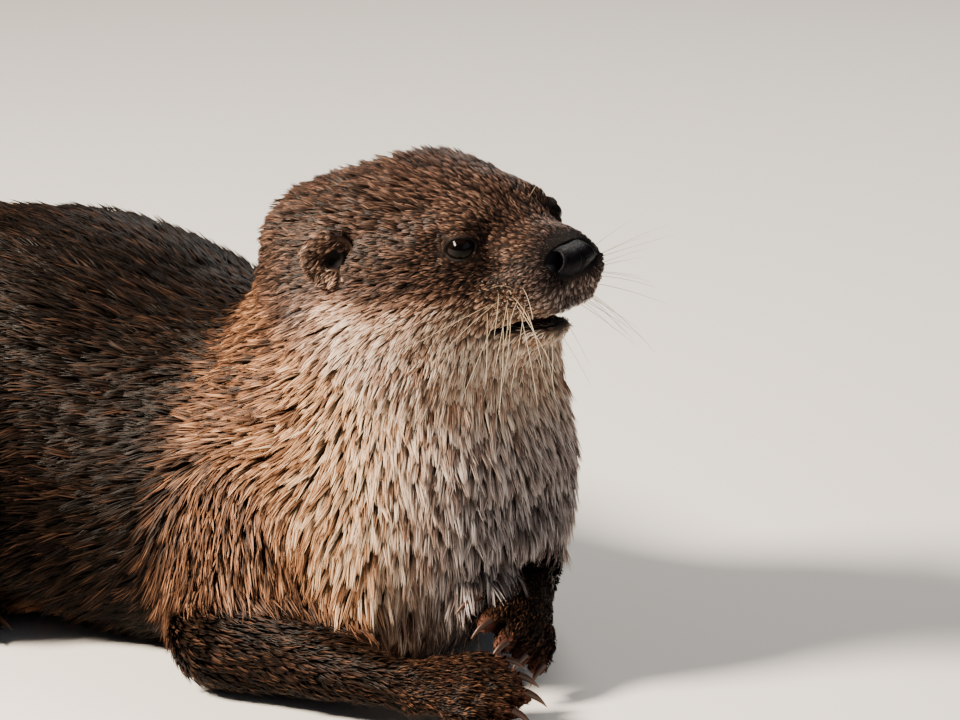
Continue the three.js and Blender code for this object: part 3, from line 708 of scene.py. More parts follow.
earValues = {
    "faces": (0.62, 0.78, 0.05),
    "around": 72,
    # the shell from the bottom of its cup over its rim to its back: (share of the rim's radius, mm ahead)
    "section": ((0.04, -4.8), (0.20, -4.4), (0.34, -3.3), (0.47, -1.9), (0.62, -1.1), (0.77, -0.4),
                (0.90, 0.35), (0.98, 0.55), (1.04, -0.6), (1.05, -3.0), (0.97, -6.0), (0.80, -9.5)),
    "rows": 34,  # finer rows between the section's points
    "rimRow": (20, 5.5),  # the rim's row, and over how many rows its coat changes
    "cupRows": 22,
    "backRows": (19, 25),
    "radius": 9.4,
    "uneven": (0.05, -0.06, 0.03, 0.6),  # wider above, narrower to the face, and a wave with its turn
    "ahead": 3.6,  # how far the rim stands before the middle of the ear's solid
    "dip": 4.2,  # how much lower the rim is towards the face
    "lobeDip": 0.8,
    "ridge": (0.7, 0.42, 0.08),  # the fold inside the cup: height, place and width
    "holeAhead": 0.24,
    "hole": (0.52, 0.36),
}


def earFrame(name, side):
    x = unit(np.array(earValues["faces"]) * (1, side, 1))
    y = unit(np.cross([0, 0, 1], x))
    axes = np.stack([x, y, np.cross(x, y)])
    points = toHead(np.array([v.co for v in nodes["ear_" + name].data.vertices])) @ axes.T
    middle = (points.min(0) + points.max(0)) / 2
    return axes, middle


def earShell(name, side):
    axes, middle = earFrame(name, side)
    v = earValues
    share, ahead = np.array(v["section"]).T
    at = np.linspace(0, len(share) - 1, v["rows"])
    share, ahead = (np.interp(at, np.arange(len(share)), values) for values in (share, ahead))
    t, s = np.meshgrid(np.linspace(0, 2 * math.pi, v["around"], endpoint=False), share)
    row = np.arange(v["rows"])[:, None] + 0 * t
    toFace = np.cos(t) * side * -1  # 1 on the side of the face
    above, inward, lobes, lobeTurn = v["uneven"]
    radius = v["radius"] * (1 + above * np.sin(t) + inward * toFace + lobes * np.sin(3 * t + lobeTurn))
    outer = ramp(0.3, 0.9, s)
    x = np.repeat(ahead, v["around"]).reshape(t.shape)
    x = x - v["dip"] * ramp(0.0, 1.0, toFace) * outer - v["lobeDip"] * ramp(0.4, 1, -np.sin(t)) * outer
    high, place, wide = v["ridge"]
    x = x + high * np.exp(-((s - place - 0.05 * np.sin(2 * t)) / wide) ** 2) * ramp(0.7, -0.3, toFace)
    local = np.stack([x, s * radius * np.cos(t), s * radius * np.sin(t)], axis=-1).reshape(-1, 3)
    rim = np.exp(-((row - v["rimRow"][0]) / v["rimRow"][1]) ** 2)
    face = toFace * ramp(0.3, 0.8, s)
    # the opening lies towards the face and is painted black as shade in the hole; the rest of the cup is
    # furred
    hole = np.hypot(s * np.cos(t) + side * v["holeAhead"], s * np.sin(t) + 0.05)
    cup = ramp(*v["hole"], hole) * (row < v["cupRows"])
    back = ramp(*v["backRows"], row)
    points = fromHead((local + middle + (v["ahead"], 0, 0)) @ axes)
    tris = gridTris(v["rows"], v["around"])
    if dot(normalsOf(points, tris)[10 * v["around"]], axes[0] @ headAxes) < 0:
        tris = tris[:, ::-1]
    return points, tris, *(values.ravel() for values in (cup, rim, np.sin(t), face, back))


clawValues = {
    "sides": 10,
    "rings": 9,
    "sunk": 4.2,  # how far a claw's root reaches into the toe
    "shorter": 0.2,
    "base": 1.45,
    "point": 0.12,
    "taper": 1.6,
    "flat": 0.72,
    "droop": 0.72,
    "endSlice": 1.5,  # the length of a solid's end that tells its thick one
}


def clawLine(name):
    # a claw's root, its point and the way between them, from its solid's thick end to its thin one
    v = clawValues
    points = welded(*trianglesOf(nodes[name].data))[0] / mm
    middle = points.mean(0)
    spread = points - middle
    line = np.linalg.eigh(spread.T @ spread)[1][:, 2]
    reach = spread @ line
    ends = [np.abs(reach - end) < v["endSlice"] for end in (reach.min(), reach.max())]
    width = [np.linalg.norm(np.cross(spread[end], line), axis=1).max() for end in ends]
    if width[0] < width[1]:
        line, reach = -line, -reach
    root = middle + line * reach.min() - line * v["sunk"]
    return root, middle + line * mix(reach.max(), reach.min(), v["shorter"]), line


def makeClaws():
    v = clawValues
    allPoints, allTris, names = [], [], [n for n in nodes if n.startswith("claw_")]
    turn = np.linspace(0, 2 * math.pi, v["sides"], endpoint=False)
    for index, name in enumerate(names):
        root, tip, line = clawLine(name)
        up = unit(np.array([0, 0, 1.0]) - line * line[2])
        across = np.cross(up, line)
        rings = []
        for t in np.linspace(0, 1, v["rings"]):
            at = mix(root, tip, t) + up * v["droop"] * math.sin(math.pi * t)
            size = v["base"] * (1 - t ** v["taper"]) + v["point"]
            ring = column(np.cos(turn)) * across * size * v["flat"] + column(np.sin(turn)) * up * size
            rings.append(at + ring)
        ring = np.concatenate(rings + [[tip + line * 0.1]])
        last = (v["rings"] - 1) * v["sides"] + np.arange(v["sides"])
        cap = np.stack([last, np.roll(last, -1), np.full(v["sides"], len(ring) - 1)], 1)
        allPoints.append(ring)
        allTris.append(np.concatenate([gridTris(v["rings"], v["sides"]), cap]) + len(ring) * index)
    points = np.concatenate(allPoints) * mm
    points[:, 2] = np.maximum(points[:, 2], 0.0)
    along = np.tile(np.append(np.repeat(np.linspace(0, 1, v["rings"]), v["sides"]), 1.0), len(names))
    mesh = makeMesh("claws", points, np.concatenate(allTris))
    paint(mesh, "marks", np.stack([along, 0 * along, 0 * along], axis=1))
    piece = placed("claws", mesh)
    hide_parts(*names)
    return piece


nosePad, nostrilShadeFaces = makeNose()
eyeballs = [makeEye(name, side) for name, side in sides.items()]
claws = makeClaws()
print("nose, eyes and claws made")


# the ears join the skin, then every point gets its region, the lie of its coat and its markings
earShells = {name: earShell(name, side) for name, side in sides.items()}
earStart = len(skinPoints)
earData = np.zeros((earStart, 5))  # cup, rim, high, towards the face, back
for points, tris, *shell in earShells.values():
    skinTris = np.concatenate([skinTris, tris + len(skinPoints)])
    skinPoints = np.concatenate([skinPoints, points])
    earData = np.concatenate([earData, np.stack(shell, axis=1)])
onEar = np.arange(len(skinPoints)) >= earStart
skinNormals = normalsOf(skinPoints, skinTris)
skinWeb = Web(skinTris, len(skinPoints))
skinNode = nearestSolids(skinPoints)
skinNode[onEar] = fleshNodes.index("head")
skinRegion = ownerRegion[skinNode]
headPoints = toHead(skinPoints)
bodyPoints = skinPoints / mm
neckMiddle = centreOf("neck") / mm
# degrees round the neck's middle from straight ahead, 0 to 180
fromNeck = bodyPoints - neckMiddle
roundNeck = np.degrees(np.abs(np.arctan2(fromNeck[:, 1], fromNeck[:, 0])))


def isRegion(*names):
    return np.isin(skinRegion, [regionNames.index(name) for name in names])


def nodesCentre(start, side):
    found = [centreOf(n) for n in nodes if n.startswith(start) and side in n.split("_")]
    return np.mean(found, axis=0)


# ways are (ahead, left, up), in the head's frame on the head; pairs are where a change starts and ends
flowValues = {
    "noseTip": (9, 0, 1),  # the head's coat runs away from here
    "cheek": (-0.5, 0, -0.55),
    "cheekFrom": (-18, -62),
    "cheekBelow": (12, -12),
    "jaw": (0, 0, -0.9),
    "jawBelow": (-8, -20),
    "jawFrom": (-6, -30),
    "shoulderTurn": 70,  # degrees back from straight down
    "shoulderFrom": (50, 110),
    "trunk": (-1, 0, -0.22),
    "thigh": (-0.62, 0, -0.8),
    "tailDown": 0.05,
    "arm": (-0.35, 0, -0.5),
    "ear": (-0.85, 0, -0.25),
    "earOut": 0.45,
    "rounds": 14,
}


def coatFlow():
    v = flowValues
    flow = np.zeros((len(skinPoints), 3))
    h = headPoints
    # the head's coat runs back from the nose, and down over the cheeks
    away = unit(h - v["noseTip"])
    cheek = ramp(*v["cheekFrom"], h[:, 0]) * ramp(*v["cheekBelow"], h[:, 2])
    away = away + np.array(v["cheek"]) * column(cheek)
    jaw = ramp(*v["jawBelow"], h[:, 2]) * ramp(*v["jawFrom"], h[:, 0])
    away = away + np.array(v["jaw"]) * column(jaw)
    onHead = isRegion("head", "jaw", "nose")
    flow[onHead] = (away @ headAxes)[onHead]
    # down the throat and chest, and turning back over the shoulders
    turn = np.radians(v["shoulderTurn"] * ramp(*v["shoulderFrom"], roundNeck))
    down = np.stack([-np.sin(turn), 0 * turn, -np.cos(turn)], axis=1)
    onNeck = isRegion("neck", "chest")
    flow[onNeck] = down[onNeck]
    flow[isRegion("loin", "rump")] = v["trunk"]
    flow[isRegion("thigh")] = v["thigh"]
    tail = isRegion("tail")
    bend = np.polyder(np.polyfit(bodyPoints[tail, 0], bodyPoints[tail, 1], 3))
    slope = np.polyval(bend, bodyPoints[:, 0])
    flow[tail] = np.stack([-1 + 0 * slope, -slope, 0 * slope - v["tailDown"]], axis=1)[tail]
    for name, side in sides.items():
        own = np.array([name in n.split("_") for n in fleshNodes])[skinNode]
        armTo = nodesCentre("forearm", name) - nodesCentre("arm", name)
        wristTo = nodesCentre("forepaw", name) - nodesCentre("forearm", name)
        toeTo = nodesCentre("claw_fore", name) - nodesCentre("forepaw", name)
        flow[own & isRegion("arm")] = unit(unit(armTo) + v["arm"])
        flow[own & isRegion("forearm")] = unit(wristTo)
        flow[own & isRegion("forepaw")] = unit(toeTo)
        flow[own & isRegion("shank")] = unit(nodesCentre("hindpaw", name) - nodesCentre("thigh", name))
        flow[own & isRegion("hindpaw")] = unit(nodesCentre("claw_hind", name) - nodesCentre("hindpaw", name))
        ear = onEar & (h[:, 1] * side > 0)
        outward = v["earOut"] * unit(h[ear] - h[ear].mean(0)) + np.array(v["ear"])
        flow[ear] = outward @ headAxes
    flow = unit(flow)
    for _ in range(3):
        flow = skinWeb.spread(flow, v["rounds"], 0.6)
        flow = unit(flow - skinNormals * column(dot(flow, skinNormals)))
    return flow


skinFlow = coatFlow()
print("the lie of the coat is set")


# markings: tone runs from 0, the back's dark brown, to 1, the throat's cream. Places on the head are in its
# frame, on the body along and above the floor, and round the neck in degrees from straight ahead
markValues = {
    "spotsFrom": (-11.0, -3.5),  # the front upper whisker spot, seen from the side
    "spotStep": (3.2, 2.6),
    "spotSlope": 0.12,
    "spotColumns": (-7.4, 0.4),
    "spotRows": (-4.5, 0.5),
    "spotsBack": -34,
    "spotEdge": (1.2, 0.6),
    "spotDark": 0.8,
    # where the dark head meets the pale cheek, along and above the nose
    "cheekLine": ((20, -8), (0, -6), (-17, -3), (-41, 0), (-60, -1), (-72, 3), (-84, 8), (-120, 8)),
    "cheekEdge": (-3, 11),
    "headTop": 0.185,
    "bridge": 0.29,
    "bridgeFrom": (-48, -30),
    "bridgeAbove": (2, 9),
    "overNose": 0.23,
    "overNoseFrom": (-15, -7),
    "muzzleSide": 0.62,
    "cheek": 0.84,
    "cheekFrom": (-30, -76),
    "neckFrom": (-73, -87),
    # the palest spot, right under the ear: strength, place and spread
    "underEar": (0.34, (-80, -2), (8, 9)),
    "chin": 0.9,
    "chinBelow": (-16, -22),
    "chinFrom": (-70, -40),
    "throat": 0.84,
    "throatEdge": 0.52,
    "throatRound": (58, 92),
    "neckSide": 0.31,
    "neckRound": (84, 112),
    "lowChest": 0.27,  # the foot of the chest, between the arms: partly darker fur, partly painted shade
    "lowChestShare": 0.85,
    "lowChestHigh": (64, 27),
    "lowChestLean": (0.6, 300),  # its edge sinks by this share ahead of this place along the body
    "shadedChest": 0.46,  # and its side away from the sun
    "shadedShare": 0.75,
    "shadedRound": (62, 12),
    "shadedHigh": (118, 62),
    # the trunk's dark brown, darkened further as painted shade
    "trunk": 0.02,
    "trunkFrom": (238, 214),  # where the chest's brown darkens into the trunk's
    "trunkLean": (0.12, 100),  # and by how much further back that is above this height
    "napeShare": 0.75,
    "napeRound": (135, 168),
    "belly": 0.26,
    "bellyFaces": (-0.55, -0.9),
    # the forearms' brown, darkened further as painted shade
    "forearm": 0.07,
    "paw": 0.15,
    "ear": (0.42, 0.60),  # inside and on the rim; both painted lighter against the ear's shade, the rim most, as a painted highlight
    "earLobe": 0.66,
    "earBack": 0.05,  # lighter than the top of the head
    "clawBare": (13, 5),
}
# how grey the brown is: on the head, over the nose, round the throat and on its shaded side
greyValues = {
    "body": 0.06,
    "head": 0.27,
    "overNose": 0.30,
    "overNoseFrom": (-15, -5),
    "throat": 0.30,
    "throatRound": (70, 20),
    "shaded": 0.45,
    "shadedRound": (72, 15),
    "shadedHigh": (135, 70),
}
bareValues = {
    "mouthFrom": (-42, -36),
    "mouthEdge": (0.9, -0.2),
    "lipAt": 0.6,
    "lipWide": (0.6, 1.9),  # at the corner and in front, on the upper lip
    "lipFrom": (-26, -15),
    "lidRim": (9, 3),
    "lidReach": 12,
    "bedEdge": (1.12, 1.0),
    "bedBack": -17,
}


def whiskerSpots():
    # rows of dark spots on the pads beside the nose
    v = markValues
    h, (wide, high) = headPoints, v["spotStep"]
    across = (h[:, 0] - v["spotsFrom"][0]) / wide
    down = (h[:, 2] - v["spotsFrom"][1] + v["spotSlope"] * (h[:, 0] + 10)) / high
    row = np.round(down)
    across = across + 0.5 * (row % 2)
    away = np.hypot((across - np.round(across)) * wide, (down - row) * high)
    inside = (across > v["spotColumns"][0]) & (across < v["spotColumns"][1]) & (h[:, 0] > v["spotsBack"])
    inside = inside & (row > v["spotRows"][0]) & (row < v["spotRows"][1])
    return ramp(*v["spotEdge"], away) * inside * isRegion("head", "nose")


def headTones():
    v = markValues
    h = headPoints
    line = np.array(v["cheekLine"])
    below = np.interp(-h[:, 0], -line[:, 0], line[:, 1]) - h[:, 2]
    pale = mix(v["muzzleSide"], v["cheek"], ramp(*v["cheekFrom"], h[:, 0]))
    pale = mix(pale, v["neckSide"], ramp(*v["neckFrom"], h[:, 0]))
    strength, place, spread = v["underEar"]
    away = ((h[:, 0] - place[0]) / spread[0]) ** 2 + ((h[:, 2] - place[1]) / spread[1]) ** 2
    pale = pale + strength * np.exp(-away)
    chin = ramp(*v["chinBelow"], h[:, 2] + 0.05 * h[:, 0]) * ramp(*v["chinFrom"], h[:, 0])
    top = mix(v["headTop"], v["bridge"], ramp(*v["bridgeFrom"], h[:, 0]) * ramp(*v["bridgeAbove"], h[:, 2]))
    top = mix(top, v["overNose"], ramp(*v["overNoseFrom"], h[:, 0]))
    return mix(top, np.maximum(pale, v["chin"] * chin), ramp(*v["cheekEdge"], below))


def neckTones():
    v = markValues
    x, z = bodyPoints[:, 0], bodyPoints[:, 2]
    throat = mix(v["throat"], v["throatEdge"], ramp(*v["throatRound"], roundNeck))
    throat = mix(throat, v["neckSide"], ramp(*v["neckRound"], roundNeck))
    shaded = ramp(*v["shadedRound"], roundNeck) * ramp(*v["shadedHigh"], z)
    throat = mix(throat, v["shadedChest"], v["shadedShare"] * shaded)
    # the chest darkens towards its foot: partly darker fur, partly painted shade
    low = ramp(*v["lowChestHigh"], z + v["lowChestLean"][0] * (x - v["lowChestLean"][1]))
    throat = mix(throat, v["lowChest"], v["lowChestShare"] * low)
    trunk = ramp(*v["trunkFrom"], x + v["trunkLean"][0] * (z - v["trunkLean"][1]))
    nape = ramp(*v["napeRound"], roundNeck) * v["napeShare"]
    return mix(throat, v["trunk"], np.maximum(trunk, nape))


def coatTone():
    v = markValues
    neckTone = neckTones()
    tone = mix(v["trunk"], v["belly"], ramp(*v["bellyFaces"], skinNormals[:, 2]))
    tone = np.where(isRegion("head", "jaw", "nose"), headTones(), tone)
    tone = np.where(isRegion("neck", "chest"), neckTone, tone)
    tone = np.where(isRegion("arm"), mix(v["neckSide"], neckTone, 0.5), tone)
    tone = np.where(isRegion("forearm"), v["forearm"], tone)
    tone = np.where(isRegion("forepaw", "hindpaw"), v["paw"], tone)
    cup, rim, high, face, back = earData.T
    # the ear is painted lighter against its shade, most on the rim
    earTone = mix(mix(*v["ear"], rim), v["earLobe"], ramp(-0.3, -0.9, high))
    tone = np.where(onEar, mix(earTone, v["headTop"] + v["earBack"], back), tone)
    return skinWeb.spread(tone, 10, 0.6) * (1 - v["spotDark"] * whiskerSpots())


def coatGrey():
    # the side of the throat away from the sun is greyer, as is the top of the muzzle
    v = greyValues
    shaded = ramp(*v["shadedRound"], roundNeck) * ramp(*v["shadedHigh"], bodyPoints[:, 2])
    throat = v["throat"] * ramp(*v["throatRound"], roundNeck) + v["shaded"] * shaded
    grey = np.where(isRegion("neck", "chest"), throat, v["body"])
    head = v["head"] + v["overNose"] * ramp(*v["overNoseFrom"], headPoints[:, 0])
    grey = np.where(isRegion("head", "jaw", "nose"), head, grey)
    return skinWeb.spread(grey, 10, 0.6)


def pawBare():
    # the toes' ends are nearly bare
    bare = np.zeros(len(bodyPoints))
    for claw in (n for n in nodes if n.startswith("claw_")):
        away = np.linalg.norm(bodyPoints - centreOf(claw) / mm, axis=1)
        bare = np.maximum(bare, ramp(*markValues["clawBare"], away) * isRegion(claw.split("_")[1]))
    return bare


def faceMarks():
    # how dark the mouth is, the wet lips and nose bed, the bare rims of the eyes, and the ears' openings,
    # painted black as shade
    h = headPoints
    v = bareValues
    below, half, ahead = mouthShape(h)
    inFront = ramp(*v["mouthFrom"], h[:, 0])
    mouth = ramp(half + v["mouthEdge"][0], half + v["mouthEdge"][1], np.abs(below)) * ahead * inFront
    lipWide = np.where(below > 0, mix(*v["lipWide"], ramp(*v["lipFrom"], h[:, 0])), v["lipWide"][0])
    lip = np.exp(-((np.abs(below) - half - v["lipAt"]) / lipWide) ** 2) * ahead * inFront
    rim = np.zeros(len(h))
    for s in sides.values():
        r, angle, turn = aroundEye(h, s)
        near = (r < v["lidReach"]) * (np.sign(h[:, 1]) == s)
        rim = np.maximum(rim, ramp(*v["lidRim"], angle - lidOpening(turn)) * near)
    bed = ramp(*v["bedEdge"], padShare(h)) * (h[:, 0] > v["bedBack"])
    # the ears' openings: painted shade
    cup = np.where(onEar, earData[:, 0], 0)
    return mouth, np.maximum(lip, bed), np.maximum(rim, cup)


skinTone, skinGrey, skinBare = coatTone(), coatGrey(), pawBare()
skinMouth, skinLip, skinRimAndEarShade = faceMarks()
print("markings set")


# the coat: every tuft is a ridged blade of seven points, rooted in the skin and drawn to its clump's tip
tuftValues = {
    "sunk": 0.35,
    "ridge": 0.30,  # height of a blade's ridge as a share of its width
    "lengthSpread": (0.72, 1.18),
    "liftSpread": (0.55, 1.45),
    "swing": 0.16,  # sideways wander, as a share of the length
    "bow": 0.07,
    "bend": 0.52,  # where along a blade its middle points lie
    "taper": 0.8,  # their width, as a share of the root's
    "own": 0.12,  # how much of its own place a tip keeps inside its clump
    "clumpEdge": (2.5, 1.2),  # in clumps' spacings, where the pull starts and is full
    "widthSpread": (0.8, 1.2),
    "quickShare": 0.35,
    "tipFloor": 0.3,
    "floor": 0.2,
    "bareNose": 1.03,  # in the nose pad's radii
    "flatFoot": (1.2, -0.5),  # no fur this low on a surface that faces further down than this
    "most": 32000,  # tufts in a piece
    "patch": 0.0015,  # half a tuft's patch on the baking map
    "proxyVoxel": 6.0,
    "islandAngle": 66,
    "islandMargin": 0.004,
}
# how far apart the clumps' middles are in mm, and how much of the way a tip goes to its clump's tip
clumpValues = {
    "crown": (2.4, 0.80), "head": (1.8, 0.68), "jaw": (1.7, 0.6), "nose": (1.0, 0.2), "neck": (2.3, 0.80),
    "chest": (2.6, 0.78), "loin": (3.3, 0.55), "rump": (3.4, 0.5), "tail": (3.0, 0.4), "arm": (2.5, 0.65),
    "forearm": (2.0, 0.6), "forepaw": (1.3, 0.4), "thigh": (3.0, 0.55), "shank": (2.4, 0.5),
    "hindpaw": (1.4, 0.4),
}


def smoothValues(key):
    return skinWeb.spread(regionValues(skinRegion, key).astype(float), 16, 0.6)


# how the coat's own measures change over a place on the body, as shares
coatChanges = {
    "muzzle": {"length": 0.40, "width": 0.62, "crowd": 1.25, "lift": 0.75},
    "cheek": {"length": 1.55, "width": 1.25, "lift": 1.2},  # longer over the cheeks towards the neck
    "throat": {"length": 1.7, "width": 1.2, "lift": 1.25},
    "chin": {"length": 1.5},
    "crown": {"length": 1.3, "lift": 2.3},
    "pads": {"length": 0.62, "width": 0.75, "crowd": 1.5},  # short and fine on the whiskers' pads
    "hang": {"length": 1.4, "lift": 1.25},  # the foot of the chest hangs over the arms
    "tailTip": {"length": 0.65},
    "toes": {"length": 0.6, "crowd": 0.3},
    "lips": {"crowd": 0.25},
    "lids": {"length": 0.34, "width": 0.6, "lift": 0.5},
}
# where each change on the head starts and is full, along the head and above the nose's middle
headPlaces = {
    "muzzle": ((-64, -14), None),
    "cheek": ((-34, -92), (14, -10)),
    "throat": ((-8, -34), (-22, -35)),
    "chin": ((-60, -38), (-17, -24)),
    "crown": ((-34, -64), (16, 32)),
}
padPlace = {"at": (-21, -8), "spread": (13, 7)}
hangPlace = {"high": (78, 46), "lean": (0.3, 300)}
# the ears wear dense short fur on the back and the rim, and none in the cup; pairs are off and on the rim
earCoat = {
    "length": (3.2, 3.6),
    "width": 0.55,
    "crowd": 2.6,
    "lift": (10, 14),
    "cup": (0.75, 0.2),
    "face": 0.4,
}
# round the eyes: how far it is short, in mm, and over which degrees past the lids' opening
lidCoat = {"reach": 17, "from": 3.5, "full": (60, 6)}


def coatPlaces():
    x, z = headPoints[:, 0], headPoints[:, 2]
    onHead = isRegion("head", "jaw", "nose")
    places = {}
    for name, (along, above) in headPlaces.items():
        share = ramp(*along, x) * (ramp(*above, z) if above else 1)
        places[name] = share * (isRegion("jaw") if name == "throat" else onHead)
    away = [((a - at) / spread) ** 2 for a, at, spread in zip((x, z), padPlace["at"], padPlace["spread"])]
    places["pads"] = np.exp(-sum(away)) * onHead
    lean, start = hangPlace["lean"]
    foot = ramp(*hangPlace["high"], bodyPoints[:, 2] + lean * (bodyPoints[:, 0] - start))
    places["hang"] = foot * isRegion("arm", "chest")
    away = np.linalg.norm(skinPoints - tailTip, axis=1) / mm
    places["tailTip"] = 1 - ramp(*skinValues["tipReach"], away)
    places["toes"] = skinBare
    places["lips"] = ramp(0.3, 0.7, skinLip)
    return places


def coatFields():
    fields = {key: smoothValues(key) for key in ("length", "width", "crowd", "lift")}
    clump = np.array([clumpValues[name] for name in regionNames])[skinRegion]
    clump = skinWeb.spread(clump, 16, 0.6)

    def change(place, share):
        for key, factor in coatChanges[place].items():
            fields[key] = fields[key] * mix(1, factor, share)

    places = coatPlaces()
    for place, share in places.items():
        change(place, share)
    clump = mix(clump, np.array(clumpValues["crown"]), column(places["crown"]))
    for s in sides.values():
        r, angle, turn = aroundEye(headPoints, s)
        past = angle - lidOpening(turn)
        near = (np.sign(headPoints[:, 1]) == s) & (r < lidCoat["reach"])
        change("lids", np.where(near, ramp(*lidCoat["full"], past), 0))
        fields["crowd"] = np.where(near & (past < lidCoat["from"]), 0, fields["crowd"])
    low, down = tuftValues["flatFoot"]
    grows = (bodyPoints[:, 2] > low) | (skinNormals[:, 2] > down)
    grows = grows & (padShare(headPoints) > tuftValues["bareNose"])
    fields["crowd"] = fields["crowd"] * (1 - ramp(0.25, 0.55, skinMouth)) * grows
    cup, rim, _, face, _ = earData.T
    earCrowd = earCoat["crowd"] * ramp(*earCoat["cup"], cup) * mix(1, earCoat["face"], ramp(0.1, 0.8, face))
    ear = {"crowd": earCrowd, "length": mix(*earCoat["length"], rim), "width": earCoat["width"],
           "lift": mix(*earCoat["lift"], rim)}
    return *(np.where(onEar, ear[key], fields[key]) for key in ("length", "width", "crowd", "lift")), clump


def bakeMap():
    # an unwrap of the body's own shape, on a coarse copy of it
    proxy = remeshed(grownPoints, grownTris, tuftValues["proxyVoxel"] * mm)
    points, tris = outerShell(*trianglesOf(proxy))
    bpy.data.meshes.remove(proxy)
    body = bpy.data.objects.new("unwrap", makeMesh("unwrap", points, tris))
    bpy.context.scene.collection.objects.link(body)
    bpy.context.view_layer.objects.active = body
    body.select_set(True)
    bpy.ops.object.mode_set(mode="EDIT")
    bpy.ops.mesh.select_all(action="SELECT")
    bpy.ops.uv.smart_project(angle_limit=math.radians(tuftValues["islandAngle"]),
                             island_margin=tuftValues["islandMargin"])
    bpy.ops.object.mode_set(mode="OBJECT")
    uv = np.empty(len(tris) * 6)
    body.data.uv_layers[0].data.foreach_get("uv", uv)
    bpy.data.objects.remove(body)
    return points, tris, uv.reshape(-1, 3, 2)


def placesOn(map_, roots):
    points, tris, uv = map_
    tree = BVHTree.FromPolygons(points.tolist(), tris.tolist())
    found = [tree.find_nearest(Vector(p)) for p in roots]
    at = np.array([f[0] for f in found])
    tri = np.array([f[2] for f in found])
    a, b, c = (points[tris[tri, i]] for i in range(3))
    ab, ac, ap = b - a, c - a, at - a
    d00, d01, d11, d20, d21 = dot(ab, ab), dot(ab, ac), dot(ac, ac), dot(ap, ab), dot(ap, ac)
    under = np.maximum(d00 * d11 - d01 * d01, 1e-20)
    v, w = (d11 * d20 - d01 * d21) / under, (d00 * d21 - d01 * d20) / under
    share = np.clip(np.stack([1 - v - w, v, w], axis=1), 0, 1)
    return (uv[tri] * share[:, :, None]).sum(1)


def nearestOf(seeds, points):
    tree = kdtree.KDTree(len(seeds))
    for i, p in enumerate(seeds.tolist()):
        tree.insert(p, i)
    tree.balance()
    return np.array([tree.find(p)[1] for p in points.tolist()])


def growTufts():
    v = tuftValues
    length, width, crowd, lift, clump = coatFields()
    a, b, c = (skinPoints[skinTris[:, i]] / mm for i in range(3))
    area = np.linalg.norm(np.cross(b - a, c - a), axis=1) / 2
    crowded = area * crowd[skinTris].min(axis=1) * 1
    total = np.cumsum(crowded)
    count = int(total[-1])
    pick = np.searchsorted(total, (np.arange(count) + rng.random(count)) * total[-1] / count)
    pick = np.minimum(pick, len(skinTris) - 1)
    share = rng.dirichlet((1, 1, 1), count)
    corner = skinTris[pick]

    def at(values):
        picked = values[corner]
        return (picked * share.reshape(share.shape + (1,) * (picked.ndim - 2))).sum(1)

    root = at(skinPoints / mm)
    normal, flow = unit(at(skinNormals)), at(skinFlow)
    side = unit(np.cross(normal, flow))
    flow = unit(np.cross(side, normal))
    long = at(length) * rng.uniform(*v["lengthSpread"], count)
    rise = np.radians(at(lift) * rng.uniform(*v["liftSpread"], count))
    wander = rng.normal(0, v["swing"], count)
    way = flow * column(np.cos(rise)) + normal * column(np.sin(rise)) + side * column(wander)
    tip = root + way * column(long)
    spacing, pull = at(clump).T
    isSeed = rng.random(count) < 1 / np.maximum(spacing ** 2 * at(crowd), 1.01)
    seeds = np.flatnonzero(isSeed)
    mine = seeds[nearestOf(root[seeds], root)]
    own = np.linalg.norm(root[mine] - root, axis=1)
    pull = pull * ramp(*v["clumpEdge"], own / spacing)
    tip = mix(tip, tip[mine] + (root - root[mine]) * v["own"], column(pull))
    tip[:, 2] = np.maximum(tip[:, 2], v["tipFloor"])
    data = [at(skinTone), at(skinGrey), at(skinBare), rng.random(count), rng.random(count)[mine]]
    wide = at(width) * rng.uniform(*v["widthSpread"], count)
    return (root, tip, normal, wide, np.stack(data, axis=1)), skinRegion[corner[:, 0]]


def tuftMesh(name, chosen):
    root, tip, normal, width, data = (values[chosen] for values in tufts)
    v = tuftValues
    reach = tip - root
    long = column(np.linalg.norm(reach, axis=1))
    side = unit(np.cross(normal, reach))
    up = unit(np.cross(reach, side))
    half = column(width / 2)
    low = root - normal * v["sunk"]
    middle = root + reach * v["bend"] + up * long * v["bow"]
    inner = half * v["taper"]
    ridge = half * 2 * v["ridge"]
    points = np.stack([low - side * half, low + up * ridge, low + side * half, middle - side * inner,
                       middle + up * ridge, middle + side * inner, tip], axis=1)
    points[:, :, 2] = np.maximum(points[:, :, 2], v["floor"])
    shape = np.array([[0, 1, 4], [0, 4, 3], [1, 2, 5], [1, 5, 4], [3, 4, 6], [4, 5, 6]])[:, ::-1]
    count = len(root)
    faces = (shape[None] + 7 * np.arange(count)[:, None, None]).reshape(-1, 3)
    mesh = makeMesh(name, points.reshape(-1, 3) * mm, faces)
    along = np.tile([0, 0.08, 0, 0.5, 0.56, 0.5, 1.0], count)
    paint(mesh, "marks", np.repeat(data[:, :3], 7, axis=0))
    paint(mesh, "lock", np.column_stack([along, np.repeat(data[:, 3], 7), np.repeat(data[:, 4], 7)]))
    layer = mesh.uv_layers.new(name="OFBake", do_init=False)
    spot = np.array([[-1, -1], [0, -1], [1, -1], [-1, 0], [0, 0], [1, 0], [0, 1]]) * v["patch"]
    uv = tuftPlaces[chosen][:, None] + spot[None]
    layer.data.foreach_set("uv", uv.reshape(-1, 2)[faces.ravel()].astype(np.float32).ravel())
    return mesh


